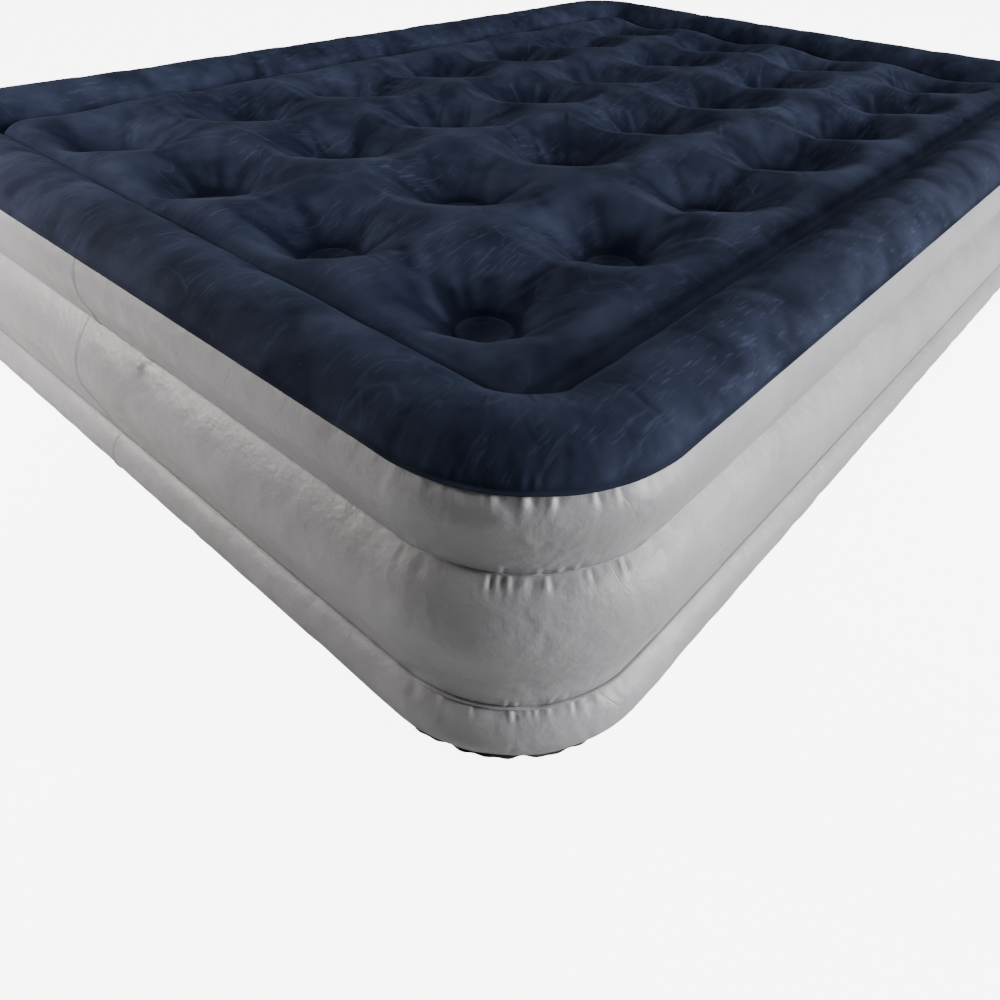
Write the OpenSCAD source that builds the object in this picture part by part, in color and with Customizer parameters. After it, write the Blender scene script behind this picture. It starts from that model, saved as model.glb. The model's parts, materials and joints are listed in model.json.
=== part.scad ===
// Raised double air bed with a flocked top, three-tier side walls,
// air coils inside and a built-in mains pump in the head-end wall.
// Frame: X along the length, Y across, Z up, origin under the middle of the bed.

/* [Bed] */
// Length over the widest tier
bed_l = 1950; // [1700:10:2400]
// Width over the widest tier
bed_w = 1400; // [1100:10:1900]
// Height to the crest of the rim
bed_h = 380; // [370:5:480]
// Plan radius of the outer corners
corner_r = 192; // [186:2:280]
// Thickness of every welded sheet
sheet = 2; // [1.5:0.1:2.5]

/* [Side tiers] */
// Height of the lowest tier
lower_tier_h = 78; // [60:1:110]
// Height of the top tier
upper_tier_h = 95; // [70:1:120]
// Inset of the two waist grooves and of the floor seam
waist_inset = 41; // [36:1:60]
// Inset of the seam between the top sheet and the walls
seam_inset = 26; // [18:1:34]
// How far the middle tier bulges
middle_bulge = 21; // [10:1:35]
// How far the lowest tier bulges
lower_bulge = 16; // [8:1:30]
// Width of the welded lips
lip = 16; // [10:1:20]

/* [Top] */
// Height of the rim crest over its seam
rim_rise = 35; // [25:1:45]
// Inset of the rim crest
crest_inset = 85; // [70:1:95]
// Inset of the groove inside the rim
rim_inset = 150; // [140:1:155]
// Depth of that groove below the rim crest
rim_depth = 58; // [40:1:70]
// Depth of the inner panel below the rim crest
panel_drop = 22; // [10:1:35]
// Width of the rounded edge of the inner panel
panel_ease = 30; // [20:1:34]

/* [Air coils] */
// Radius of a coil tube and of the weld in its dimple
coil_r = 35; // [25:1:45]
// Wanted coil spacing along the bed
pitch_l = 235; // [215:5:300]
// Wanted coil spacing across the bed
pitch_w = 258; // [230:5:320]
// From the end walls to the first row of coils
end_margin = 276; // [260:2:320]
// From the side walls to the first row of coils
side_margin = 316; // [280:2:350]
// Radius of the hollow around each dimple
dimple_r = 92; // [80:1:100]
// Depth of a dimple below the inner panel
dimple_depth = 56; // [35:1:62]
// Radius of the vents in the inner sheets
vent_r = 12; // [8:1:20]

/* [Pump] */
// From the end of the wall's corner to the middle of the pump
pump_offset = 178; // [175:1:260]
// How far the faceplate stands in from the outermost wall
pump_inset = 10; // [8:1:12]
// Width of the faceplate
plate_w = 256; // [256:2:270]
// Height of the faceplate
plate_h = 118; // [118:1:126]
// Thickness of the faceplate
plate_t = 3; // [2.5:0.5:4]
// Depth of the pump housing behind the faceplate
tub_depth = 121; // [121:1:160]
// Wall of the pump housing
tub_wall = 2.5; // [2:0.5:3]
// Width of the frame welded round the pump
frame_band = 17; // [12:1:19]
// Width of the cord compartment
cord_w = 84; // [60:1:84]
// Height of the cord compartment
cord_h = 82; // [60:1:84]
// Depth of the cord compartment
cord_depth = 60; // [40:1:60]
// Bore radius of the air port
port_r = 20; // [15:0.5:20.5]
// Depth of the wider seat for the cap at the mouth of the port
port_seat = 5; // [4:0.5:8]
// Radius of the control dial
dial_r = 20; // [14:0.5:21]
// Radius of the fan
fan_r = 33; // [25:1:33]
// Radius of the shutter in the check valve
poppet_r = 12.5; // [10:0.5:12.5]
// Opening travel of the check valve
poppet_travel = 6; // [3:1:8]

/* [Clearances] */
// Between a moving piece and its neighbour
gap = 0.3; // [0.2:0.1:0.5]
// Between a shaft or pin and the bore it turns in
run_fit = 0.06; // [0.02:0.01:0.1]
// Between a fixed pin or screw and its hole
seat_fit = 0.02; // [0.01:0.01:0.05]

/* [Hidden] */
$fn = 64;
navy = "#2a3350";
grey = "#b9bbbf";
charcoal = "#3a3c40";
steel = "#9fa4aa";
bend_steps = 12;   // points along each curve of a sheet's outline

// Heights of the seams
seam_z = bed_h - rim_rise;
waist_top_z = seam_z - upper_tier_h;
waist_low_z = lower_tier_h;
rim_groove_z = bed_h - rim_depth;
panel_z = bed_h - panel_drop;
weld_z = panel_z - dimple_depth;
panel_inset = rim_inset + panel_ease;

// The top tier bulges just far enough to reach the bed's full length and width
upper_bulge = min([for (i = [1:bend_steps - 1]) let (t = i / bend_steps)
    (waist_inset + (seam_inset - waist_inset) * t) / sin(180 * t)]);

// Coil grid
steps_l = round((bed_l - 2 * end_margin) / pitch_l);
steps_w = round((bed_w - 2 * side_margin) / pitch_w);
step_x = (bed_l - 2 * end_margin) / steps_l;
step_y = (bed_w - 2 * side_margin) / steps_w;

// Pump frame: local x to the right, local y up, local z out of the wall
plate_x = bed_l / 2 - pump_inset;
pump_y = -(bed_w / 2 - corner_r - pump_offset);
pump_z = (waist_top_z + waist_low_z) / 2;
flange_z = -plate_t;              // back of the faceplate
tub_flange_t = 3;
shell_r = 9;                      // corners of the housing
plate_r = 16;                     // corners of the faceplate
gasket_t = 2;
surround_t = 18;
surround_z = flange_z - tub_flange_t - gasket_t;
tub_w = plate_w - 18;
tub_h = plate_h - 18;
tub_back = flange_z - tub_depth;
surround_w = plate_w + 2 * frame_band;
surround_h = plate_h + 22;
screw_y = (plate_h + tub_h) / 4;
screw_r = 1.9;
pin_r = 1.5;
cord_x = -70;                     // middle of the cord compartment
cord_wall = 2;
mouth_step = 1;                   // how much wider the faceplate is cut than the compartment
cord_back = flange_z - cord_depth;
lid_t = 3;
lid_w = cord_w + 6;
lid_h = cord_h + 6;
lid_axis_x = cord_x - lid_w / 2 - 3.5;
lid_axis_z = 3.2;
knuckle_r = 2.9;
port_x = 84;
port_wall = 4;
port_lip = 2;                     // how far the port stands out of the faceplate
seat_step = 1.5;                  // how much wider the cap's seat is than the port
cap_r = port_r + 7;
cap_t = 4;
cap_z = port_lip + gap + 1;
cap_axis_y = cap_r + 5;
cap_axis_z = cap_z + cap_t / 2;
fan_x = 14;                       // one axis for dial, diverter, fan and motor
dial_low = 1.6;
dial_base_t = 3;
dial_top = pump_inset - gap;      // the dial stays inside the bed's full length
grille_r = 35;
shaft_r = 4;
drum_r = 25.9;
drum_wall = 2;
drum_window = 18;                 // height and length of the side window
chest_wall = 2.3;
drum_top = -11.6;
drum_low = -42;
chest_low = -46;
cover_z = -68;
scroll_front = -70;
scroll_back = -90;
scroll_r = 38;
motor_top = -92;
motor_low = -118;
motor_r = 23;
bush_r = 6;
bush_l = 5;
bracket_screw_r = 1.5;
bracket_screw_at = 27;            // from the shaft to each bracket screw
spindle_r = 2.5;
valve_x = -78;
valve_y = 24;
seat_z = scroll_back - 3;
valve_r = 17;
inlet_y = -22;
inlet_pin_x = 4.3;

function arc(n) = [for (i = [0:n]) 90 * i / n];

// Outline of a wall tier between two lips, as [inset, height]
function tier(z0, z1, in0, in1, bulge) =
    let (n = bend_steps, drop = z1 - z0)
    concat(
        [for (i = [0:n]) let (t = i / n)
            [in0 + (in1 - in0) * t - bulge * sin(180 * t), z0 + drop * t]],
        [[in1 + lip, z1], [in1 + lip, z1 - sheet]],
        [for (i = [n:-1:0]) let (t = i / n)
            [in0 + (in1 - in0) * t - bulge * sin(180 * t) + sheet,
             z0 + sheet + (drop - 2 * sheet) * t]],
        [[in0 + lip, z0 + sheet], [in0 + lip, z0]]);

// Outline of the rim from its seam flange, over the crest, through the groove
function rim() =
    let (n = bend_steps, ow = crest_inset - seam_inset - 4, oh = rim_rise - sheet,
         iw = rim_inset - crest_inset, ih = rim_depth,
         ph = panel_z - rim_groove_z)
    concat(
        [[seam_inset - 6, seam_z], [seam_inset - 6, seam_z + sheet]],
        [for (a = arc(n)) [crest_inset - ow * cos(a), seam_z + sheet + oh * sin(a)]],
        [for (a = arc(n)) if (a > 0) [crest_inset + iw * sin(a), rim_groove_z + ih * cos(a)]],
        [for (a = arc(n)) [panel_inset - (panel_ease - sheet) * cos(a), rim_groove_z + ph * sin(a)]],
        [[panel_inset, panel_z - sheet]],
        [for (i = [n:-1:0]) let (a = 90 * i / n)
            [panel_inset - panel_ease * cos(a) + 2 * sheet * cos(a),
             rim_groove_z + (ph - sheet) * sin(a)]],
        [[rim_inset + 2 * sheet, rim_groove_z - sheet], [rim_inset - sheet, rim_groove_z - sheet]],
        [for (i = [n:-1:0]) let (a = 90 * i / n)
            [crest_inset + (iw - sheet) * sin(a), rim_groove_z + (ih - sheet) * cos(a)]],
        [for (i = [n:-1:0]) let (a = 90 * i / n)
            [crest_inset - (ow - sheet) * cos(a), seam_z + sheet + (oh - sheet) * sin(a)]],
        [[seam_inset + 4 + sheet, seam_z]]);

// Sweeps an [inset, height] outline round the bed's plan
module around_bed(outline) {
    for (i = [0:3]) {
        a = (i % 2 == 0 ? bed_l : bed_w) / 2;
        b = (i % 2 == 0 ? bed_w : bed_l) / 2;
        rotate([0, 0, 90 * i]) {
            translate([corner_r - a, -b, 0]) rotate([90, 0, 90])
                linear_extrude(2 * (a - corner_r)) polygon(outline);
            translate([corner_r - a, corner_r - b, 0]) rotate([0, 0, 180])
                rotate_extrude(angle = 90, $fn = 96)
                    polygon([for (p = outline) [corner_r - p[0], p[1]]]);
        }
    }
}

module rounded(w, h, r) {
    union() {
        square([w - 2 * r, h], center = true);
        square([w, h - 2 * r], center = true);
        for (x = [-1, 1], y = [-1, 1]) translate([x * (w / 2 - r), y * (h / 2 - r)]) circle(r);
    }
}

module plan(inset) rounded(bed_l - 2 * inset, bed_w - 2 * inset, corner_r - inset);

module each_coil() {
    for (i = [0:steps_l], j = [0:steps_w])
        translate([(i - steps_l / 2) * step_x, (j - steps_w / 2) * step_y, 0]) children();
}

module dimple() {
    n = bend_steps;
    w = dimple_r - coil_r;
    rotate_extrude() polygon(concat(
        [for (a = arc(n)) [dimple_r - w * cos(a), weld_z + dimple_depth * sin(a)]],
        [for (i = [n:-1:0]) let (a = 90 * i / n)
            [dimple_r - (w - sheet) * cos(a), weld_z + (dimple_depth - sheet) * sin(a)]],
        [[coil_r + sheet, weld_z - sheet], [0, weld_z - sheet], [0, weld_z]]));
}

module flocked_top_sheet() {
    color(navy) {
        around_bed(rim());
        translate([0, 0, panel_z - sheet]) linear_extrude(sheet) difference() {
            plan(panel_inset);
            each_coil() circle(dimple_r);
        }
        each_coil() dimple();
    }
}

module upper_side_band() {
    color(grey) around_bed(tier(waist_top_z + sheet / 2, seam_z, waist_inset, seam_inset,
        upper_bulge));
}

module middle_side_band() {
    color(grey) difference() {
        around_bed(tier(waist_low_z + sheet / 2, waist_top_z - sheet / 2, waist_inset,
            waist_inset, middle_bulge));
        at_pump() translate([0, 0, surround_z - 40]) linear_extrude(80)
            rounded(surround_w + 2 * gap, surround_h + 2 * gap, frame_band + shell_r + gap);
    }
}

module lower_side_band() {
    color(grey) around_bed(tier(sheet, waist_low_z - sheet / 2, waist_inset, waist_inset,
        lower_bulge));
}

module bottom_sheet() color(charcoal) linear_extrude(sheet) plan(waist_inset);

module rim_wall() {
    color(grey) around_bed([[rim_inset - sheet / 2, waist_top_z + sheet / 2],
        [rim_inset + sheet / 2, waist_top_z + sheet / 2],
        [rim_inset + sheet / 2, rim_groove_z - sheet],
        [rim_inset - sheet / 2, rim_groove_z - sheet]]);
}

// Vents sit halfway between the coils
module mid_sheet() {
    color(grey) translate([0, 0, waist_top_z - sheet / 2]) linear_extrude(sheet) difference() {
        plan(waist_inset);
        for (i = [0:steps_l - 1], j = [0:steps_w - 1])
            translate([(i + 0.5 - steps_l / 2) * step_x, (j + 0.5 - steps_w / 2) * step_y])
                circle(vent_r);
    }
}

module lower_girdle() {
    reach = rim_inset + 10;
    color(grey) translate([0, 0, waist_low_z - sheet / 2]) linear_extrude(sheet) difference() {
        plan(waist_inset);
        plan(reach);
        for (i = [0:steps_l], s = [-1, 1])
            translate([(i - steps_l / 2) * step_x, s * (bed_w / 2 - (waist_inset + reach) / 2 - lip / 2)])
                circle(vent_r);
    }
}

module coil_tubes(z0, z1) {
    color(grey) each_coil() translate([0, 0, z0]) difference() {
        cylinder(r = coil_r, h = z1 - z0);
        translate([0, 0, -1]) cylinder(r = coil_r - sheet, h = z1 - z0 + 2);
    }
}

module upper_air_coils() coil_tubes(waist_top_z + sheet / 2, weld_z - sheet);
module lower_air_coils() coil_tubes(sheet, waist_top_z - sheet / 2);

// ---- Pump ----

module at_pump() translate([plate_x, pump_y, pump_z]) rotate([90, 0, 90]) children();

module slab(z0, z1) translate([0, 0, z0]) linear_extrude(z1 - z0) children();

module tube(r_out, r_in, z0, z1) {
    translate([0, 0, z0]) difference() {
        cylinder(r = r_out, h = z1 - z0);
        translate([0, 0, -1]) cylinder(r = r_in, h = z1 - z0 + 2);
    }
}

module each_screw() {
    for (x = [-95, 0, 95], y = [-screw_y, screw_y]) translate([x, y, 0]) children();
}

module pump_surround() {
    color(grey) at_pump() difference() {
        slab(surround_z - surround_t, surround_z) difference() {
            rounded(surround_w, surround_h, frame_band + shell_r);
            rounded(tub_w + 2 * gap, tub_h + 2 * gap, shell_r);
        }
        each_screw() translate([0, 0, surround_z - 8]) cylinder(r = screw_r + gap / 3, h = 9);
    }
}

module faceplate_gasket() {
    color(charcoal) at_pump() slab(surround_z, surround_z + gasket_t) difference() {
        rounded(plate_w - 4, plate_h - 4, plate_r - 2);
        rounded(tub_w + 2 * gap, tub_h + 2 * gap, shell_r);
        each_screw() circle(screw_r + gap);
    }
}

module pump_housing() {
    color(charcoal) at_pump() difference() {
        union() {
            slab(tub_back, flange_z) rounded(tub_w, tub_h, shell_r);
            slab(flange_z - tub_flange_t, flange_z) rounded(plate_w, plate_h, plate_r);
        }
        slab(tub_back + tub_wall, flange_z + 1)
            rounded(tub_w - 2 * tub_wall, tub_h - 2 * tub_wall, shell_r - tub_wall);
        translate([port_x, 0, tub_back - 1]) cylinder(r = port_r + port_wall + gap, h = 10);
        translate([valve_x, valve_y, tub_back - 1]) cylinder(r = valve_r + gap, h = 10);
        each_screw() translate([0, 0, -20]) cylinder(r = screw_r + gap, h = 20);
    }
}

// Two bored ears that stand on the faceplate, on an axis along local x
module ears(half_in, half_out, r, height) {
    for (s = [0, 1]) mirror([s, 0, 0]) translate([half_in, 0, 0]) rotate([90, 0, 90])
        linear_extrude(half_out - half_in) difference() {
            union() {
                translate([0, height]) circle(r);
                translate([-r, -0.5]) square([2 * r, height + 0.5]);
            }
            translate([0, height]) circle(pin_r + seat_fit);
        }
}

module pump_faceplate() {
    color(charcoal) at_pump() {
        difference() {
            slab(flange_z, 0) rounded(plate_w, plate_h, plate_r);
            translate([cord_x, 0, 0]) slab(flange_z - 1, 1)
                rounded(cord_w + 2 * mouth_step, cord_h + 2 * mouth_step, 3);
            translate([fan_x, 0, flange_z - 1]) cylinder(r = grille_r + gap, h = 9);
            translate([port_x, 0, flange_z - 1]) cylinder(r = port_r + port_wall + gap, h = 9);
            each_screw() translate([0, 0, flange_z - 1]) cylinder(r = screw_r + gap, h = 9);
        }
        translate([lid_axis_x, 0, 0]) rotate([0, 0, 90])
            ears(12 + gap, 20, knuckle_r, lid_axis_z);
        translate([port_x, cap_axis_y, 0]) ears(8 + gap, 13, knuckle_r, cap_axis_z);
    }
}

module faceplate_screws() {
    color(steel) at_pump() each_screw() difference() {
        union() {
            translate([0, 0, surround_z - 7]) cylinder(r = screw_r, h = 7 - surround_z);
            cylinder(r = 3.6, h = 2.2);
        }
        for (a = [0, 90]) rotate([0, 0, a]) translate([-2.2, -0.4, 1]) cube([4.4, 0.8, 2]);
    }
}

module cord_tub() {
    color(charcoal) at_pump() translate([cord_x, 0, 0]) difference() {
        slab(cord_back - cord_wall, flange_z)
            rounded(cord_w + 2 * cord_wall, cord_h + 2 * cord_wall, 6);
        slab(cord_back, flange_z + 1) rounded(cord_w, cord_h, 2);
        translate([0, inlet_y, cord_back - 5]) slab(0, 9) rounded(24 + gap, 16 + gap, 3);
    }
}

// Two-pin socket for a detachable mains lead
module power_inlet() {
    color(charcoal) at_pump() translate([cord_x, inlet_y, cord_back]) difference() {
        union() {
            slab(-16, 2) rounded(24, 16, 3);
            slab(0, 2) rounded(30, 22, 4);
        }
        slab(-10, 3) rounded(18, 9.5, 4.5);
        for (s = [-1, 1]) translate([s * inlet_pin_x, 0, -14]) cylinder(r = 1.2 + seat_fit, h = 9);
    }
}

module inlet_pins() {
    color(steel) at_pump() for (s = [-1, 1])
        translate([cord_x + s * inlet_pin_x, inlet_y, cord_back - 13]) cylinder(r = 1.2, h = 12);
}

module compartment_lid() {
    color(charcoal) at_pump() {
        translate([cord_x, 0, 0]) slab(gap, gap + lid_t) rounded(lid_w, lid_h, 5);
        translate([cord_x + lid_w / 2 - 7, -14, gap + lid_t]) cube([5, 28, 2.5]);
        translate([cord_x + cord_w / 2 - 2.5, -10, -2]) cube([1.6, 20, 2 + gap]);
        difference() {
            union() {
                translate([lid_axis_x, 12, lid_axis_z]) rotate([90, 0, 0])
                    cylinder(r = knuckle_r, h = 24);
                translate([lid_axis_x, -12, gap + 1]) cube([5, 24, lid_t - 1]);
            }
            translate([lid_axis_x, 13, lid_axis_z]) rotate([90, 0, 0])
                cylinder(r = pin_r + run_fit, h = 26);
        }
    }
}

module lid_hinge_pin() {
    color(steel) at_pump() translate([lid_axis_x, 20, lid_axis_z]) rotate([90, 0, 0])
        cylinder(r = pin_r, h = 40);
}

module port_duct() {
    color(charcoal) at_pump() translate([port_x, 0, 0]) {
        tube(port_r + port_wall, port_r, tub_back, -port_seat);
        tube(port_r + port_wall, port_r + seat_step, -port_seat, port_lip);
    }
}

module port_cap() {
    color(charcoal) at_pump() translate([port_x, 0, 0]) {
        translate([0, 0, cap_z]) cylinder(r = cap_r, h = cap_t);
        translate([0, 0, 3 - port_seat]) cylinder(r = port_r, h = cap_z + port_seat - 2.5);
        translate([-6, -cap_r - 4, cap_z + 2]) cube([12, 7, cap_t - 2]);
        difference() {
            union() {
                translate([-8, cap_axis_y, cap_axis_z]) rotate([0, 90, 0])
                    cylinder(r = knuckle_r, h = 16);
                translate([-8, cap_axis_y - 8, cap_z]) cube([16, 8, cap_t]);
            }
            translate([-9, cap_axis_y, cap_axis_z]) rotate([0, 90, 0])
                cylinder(r = pin_r + run_fit, h = 18);
        }
    }
}

module cap_gasket() {
    color("#202124") at_pump() translate([port_x, 0, 0])
        tube(port_r + port_wall, port_r + seat_fit, port_lip + gap, cap_z);
}

module cap_hinge_pin() {
    color(steel) at_pump() translate([port_x - 13, cap_axis_y, cap_axis_z]) rotate([0, 90, 0])
        cylinder(r = pin_r, h = 26);
}

module intake_grille() {
    color(charcoal) at_pump() translate([fan_x, 0, 0]) difference() {
        union() {
            translate([0, 0, flange_z]) cylinder(r = grille_r, h = 1 - flange_z);
            translate([0, 0, flange_z - 2]) cylinder(r = grille_r + 2, h = 2);
            translate([0, 0, flange_z - 6]) cylinder(r = 8, h = 5);
        }
        translate([0, 0, -20]) cylinder(r = shaft_r + run_fit, h = 40);
        for (a = [0:15:345]) rotate([0, 0, a]) translate([dial_r + 2.5, -1.5, -10])
            cube([grille_r - dial_r - 5, 3, 20]);
    }
}

module control_dial() {
    color("#c9cbd0") at_pump() translate([fan_x, 0, 0]) {
        translate([0, 0, dial_low]) cylinder(r = dial_r, h = dial_base_t);
        intersection() {
            translate([0, 0, dial_low + 1]) cylinder(r = dial_r - 2, h = dial_top - dial_low - 1);
            translate([-4, -dial_r, dial_low + 1]) cube([8, 2 * dial_r, dial_top - dial_low - 1]);
        }
        translate([0, 0, drum_top - 4]) cylinder(r = shaft_r, h = dial_low + 5 - drum_top);
    }
}

// Drum with one side window, which swaps the intake and the outlet
module air_diverter() {
    color("#c9cbd0") at_pump() translate([fan_x, 0, 0]) difference() {
        union() {
            tube(drum_r, drum_r - drum_wall, drum_low, drum_top);
            tube(drum_r, shaft_r + seat_fit, drum_top - 3, drum_top);
            tube(7, shaft_r + seat_fit, drum_top - 6, drum_top);
        }
        translate([0, -drum_window / 2, drum_low + 5])
            cube([drum_r + 2, drum_window, drum_window]);
    }
}

module dial_clip() {
    color(steel) at_pump() translate([fan_x, 0, 0])
        tube(7, shaft_r + seat_fit, drum_top + gap, flange_z - 6 - gap);
}

module diverter_housing() {
    color(charcoal) at_pump() translate([fan_x, 0, 0]) difference() {
        union() {
            tube(drum_r + gap + chest_wall, drum_r + gap, chest_low, flange_z - 2);
            tube(grille_r + 2, drum_r + gap, flange_z - 4, flange_z - 2);
            tube(drum_r + gap + chest_wall, 14, chest_low, chest_low + 2);
        }
        for (side = [0, -drum_r - 6]) translate([side, -drum_window / 2, drum_low + 5])
            cube([drum_r + 6, drum_window, drum_window]);
    }
}

module scroll_cover() {
    color(charcoal) at_pump() translate([fan_x, 0, 0]) {
        tube(scroll_r, 14, scroll_front, cover_z);
        tube(16, 14, scroll_front, chest_low);
    }
}

// Fan casing with a duct that leads to the check valve
module scroll_case() {
    w = 2;
    duct_l = fan_x - valve_x + valve_r;
    color(charcoal) at_pump() difference() {
        union() {
            translate([fan_x, 0, scroll_back]) cylinder(r = scroll_r, h = scroll_front - scroll_back);
            translate([fan_x - duct_l, valve_y - 14, scroll_back])
                cube([duct_l, 28 - w, scroll_front - scroll_back]);
        }
        translate([fan_x, 0, scroll_back + w]) cylinder(r = scroll_r - w, h = 40);
        translate([fan_x - duct_l + w, valve_y - 14 + w, scroll_back + w])
            cube([duct_l - w, 28 - 3 * w, scroll_front - scroll_back - 2 * w]);
        translate([valve_x, valve_y, scroll_back - 1]) cylinder(r = 9, h = 5);
        translate([fan_x, 0, scroll_back - 1]) cylinder(r = 6, h = 5);
        each_bracket_screw() cylinder(r = bracket_screw_r + seat_fit, h = 200,
            center = true);
    }
}

module impeller() {
    color("#c9cbd0") at_pump() translate([fan_x, 0, 0]) difference() {
        union() {
            translate([0, 0, scroll_back + 4]) cylinder(r = fan_r, h = 1.5);
            translate([0, 0, scroll_back + 4]) cylinder(r = 6, h = 12);
            for (a = [0:30:330]) rotate([0, 0, a]) translate([12, 0, scroll_back + 5])
                rotate([0, 0, 25]) cube([fan_r - 14, 1.2, 10]);
        }
        translate([0, 0, scroll_back]) cylinder(r = spindle_r + seat_fit, h = 30);
    }
}

module motor_shaft() {
    color(steel) at_pump() translate([fan_x, 0, motor_low - 2])
        cylinder(r = spindle_r, h = scroll_back + 15 - motor_low);
}

module motor_bushes() {
    color("#b08d4a") at_pump() translate([fan_x, 0, 0]) {
        tube(bush_r, spindle_r + run_fit, motor_top - bush_l, motor_top);
        tube(bush_r, spindle_r + run_fit, motor_low, motor_low + bush_l);
    }
}

module motor_body() {
    color(steel) at_pump() translate([fan_x, 0, 0]) difference() {
        translate([0, 0, motor_low]) cylinder(r = motor_r, h = motor_top - motor_low);
        translate([0, 0, motor_low - 1]) cylinder(r = spindle_r + 1, h = 40);
        translate([0, 0, motor_low - 1]) cylinder(r = bush_r + seat_fit, h = bush_l + 1);
        translate([0, 0, motor_top - bush_l]) cylinder(r = bush_r + seat_fit, h = bush_l + 1);
    }
}

module each_bracket_screw() {
    for (a = [45:90:315]) translate([fan_x, 0, 0]) rotate([0, 0, a]) 
        translate([bracket_screw_at, 0, 0]) children();
}

module motor_bracket() {
    color(steel) at_pump() difference() {
        translate([fan_x, 0, 0]) tube(32, 8, motor_top, scroll_back);
        each_bracket_screw() cylinder(r = bracket_screw_r + seat_fit, h = 300,
            center = true);
    }
}

module bracket_screws() {
    color(steel) at_pump() each_bracket_screw() {
        translate([0, 0, motor_top - 2]) cylinder(r = 3, h = 2);
        translate([0, 0, motor_top - 1]) cylinder(r = bracket_screw_r,
            h = scroll_back + 1.5 - motor_top);
    }
}

module motor_switch() {
    color("#202124") at_pump() translate([36, -tub_h / 2 + 5, -20]) {
        cube([13, 11, 12]);
        translate([5, 4, 12]) cylinder(r = 1.5, h = 2);
    }
}

module rod(a, b, r) {
    d = b - a;
    translate(a) rotate([0, acos(d[2] / norm(d)), atan2(d[1], d[0])]) cylinder(r = r, h = norm(d), $fn = 24);
}

// Two insulated leads from the mains socket to the motor
module motor_leads() {
    r = 1.3;
    color("#202124") at_pump() for (s = [-1, 1]) {
        start = [cord_x + s * inlet_pin_x, inlet_y, cord_back - 16];
        turn = [start[0], inlet_y, -105 - 4 * s];
        end = [fan_x - motor_r - r - gap, -2, -105 - 4 * s];
        rod(start, turn, r);
        translate(turn) sphere(r, $fn = 24);
        rod(turn, end, r);
    }
}

module valve_chamber() {
    color(charcoal) at_pump() translate([valve_x, valve_y, 0]) {
        tube(valve_r, valve_r - 2.5, tub_back, scroll_back);
        tube(valve_r, 9, seat_z, scroll_back);
        difference() {
            union() {
                translate([0, 0, tub_back + 2]) cylinder(r = 5, h = 3);
                for (a = [0, 90]) rotate([0, 0, a])
                    translate([1 - valve_r, -1.5, tub_back + 2]) cube([2 * valve_r - 2, 3, 3]);
            }
            translate([0, 0, tub_back]) cylinder(r = 2 + run_fit, h = 9);
        }
    }
}

module check_poppet() {
    color("#c9cbd0") at_pump() translate([valve_x, valve_y, 0]) {
        translate([0, 0, seat_z - gap - 4.7]) cylinder(r = poppet_r, h = 3);
        translate([0, 0, tub_back + 1]) cylinder(r = 2, h = seat_z - gap - 3 - tub_back);
    }
}

module poppet_seal() {
    color("#202124") at_pump() translate([valve_x, valve_y, 0])
        tube(poppet_r, 5, seat_z - gap - 1.7, seat_z - gap);
}

// Closed helical wire, built as a tube of short facets
module check_spring() {
    turns = 5;
    per_turn = 14;
    sides = 6;
    wire_r = 0.6;
    coil = 5;
    low = tub_back + 5.3;
    top = seat_z - gap - 5;
    rings = turns * per_turn;
    rise = top - low - 2 * wire_r;
    points = [for (i = [0:rings], k = [0:sides - 1])
        let (a = 360 * i / per_turn, b = 360 * k / sides, r = coil + wire_r * cos(b))
        [r * cos(a), r * sin(a), low + wire_r + rise * i / rings + wire_r * sin(b)]];
    faces = concat(
        [for (i = [0:rings - 1], k = [0:sides - 1])
            let (n = (k + 1) % sides, p = i * sides, q = (i + 1) * sides)
            [p + k, p + n, q + n, q + k]],
        [[for (k = [sides - 1:-1:0]) k]],
        [[for (k = [0:sides - 1]) rings * sides + k]]);
    color(steel) at_pump() translate([valve_x, valve_y, 0]) polyhedron(points, faces);
}

flocked_top_sheet();
upper_side_band();
middle_side_band();
lower_side_band();
bottom_sheet();
rim_wall();
mid_sheet();
lower_girdle();
upper_air_coils();
lower_air_coils();
pump_surround();
faceplate_gasket();
pump_housing();
pump_faceplate();
faceplate_screws();
cord_tub();
power_inlet();
inlet_pins();
compartment_lid();
lid_hinge_pin();
port_duct();
port_cap();
cap_gasket();
cap_hinge_pin();
intake_grille();
control_dial();
air_diverter();
dial_clip();
diverter_housing();
scroll_cover();
scroll_case();
impeller();
motor_shaft();
motor_bushes();
motor_body();
motor_bracket();
bracket_screws();
motor_switch();
motor_leads();
valve_chamber();
check_poppet();
poppet_seal();
check_spring();
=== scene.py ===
# %% [markdown]
# # A raised air bed, blown up
# The bed is a soft skin over welded inner sheets: a flocked top, three side tiers and a dark base.
# A mains pump sits in the wall at the head end. The frame holds every size and every place,
# so this file only gives the skin its blown-up shape and every piece its finish.

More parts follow.
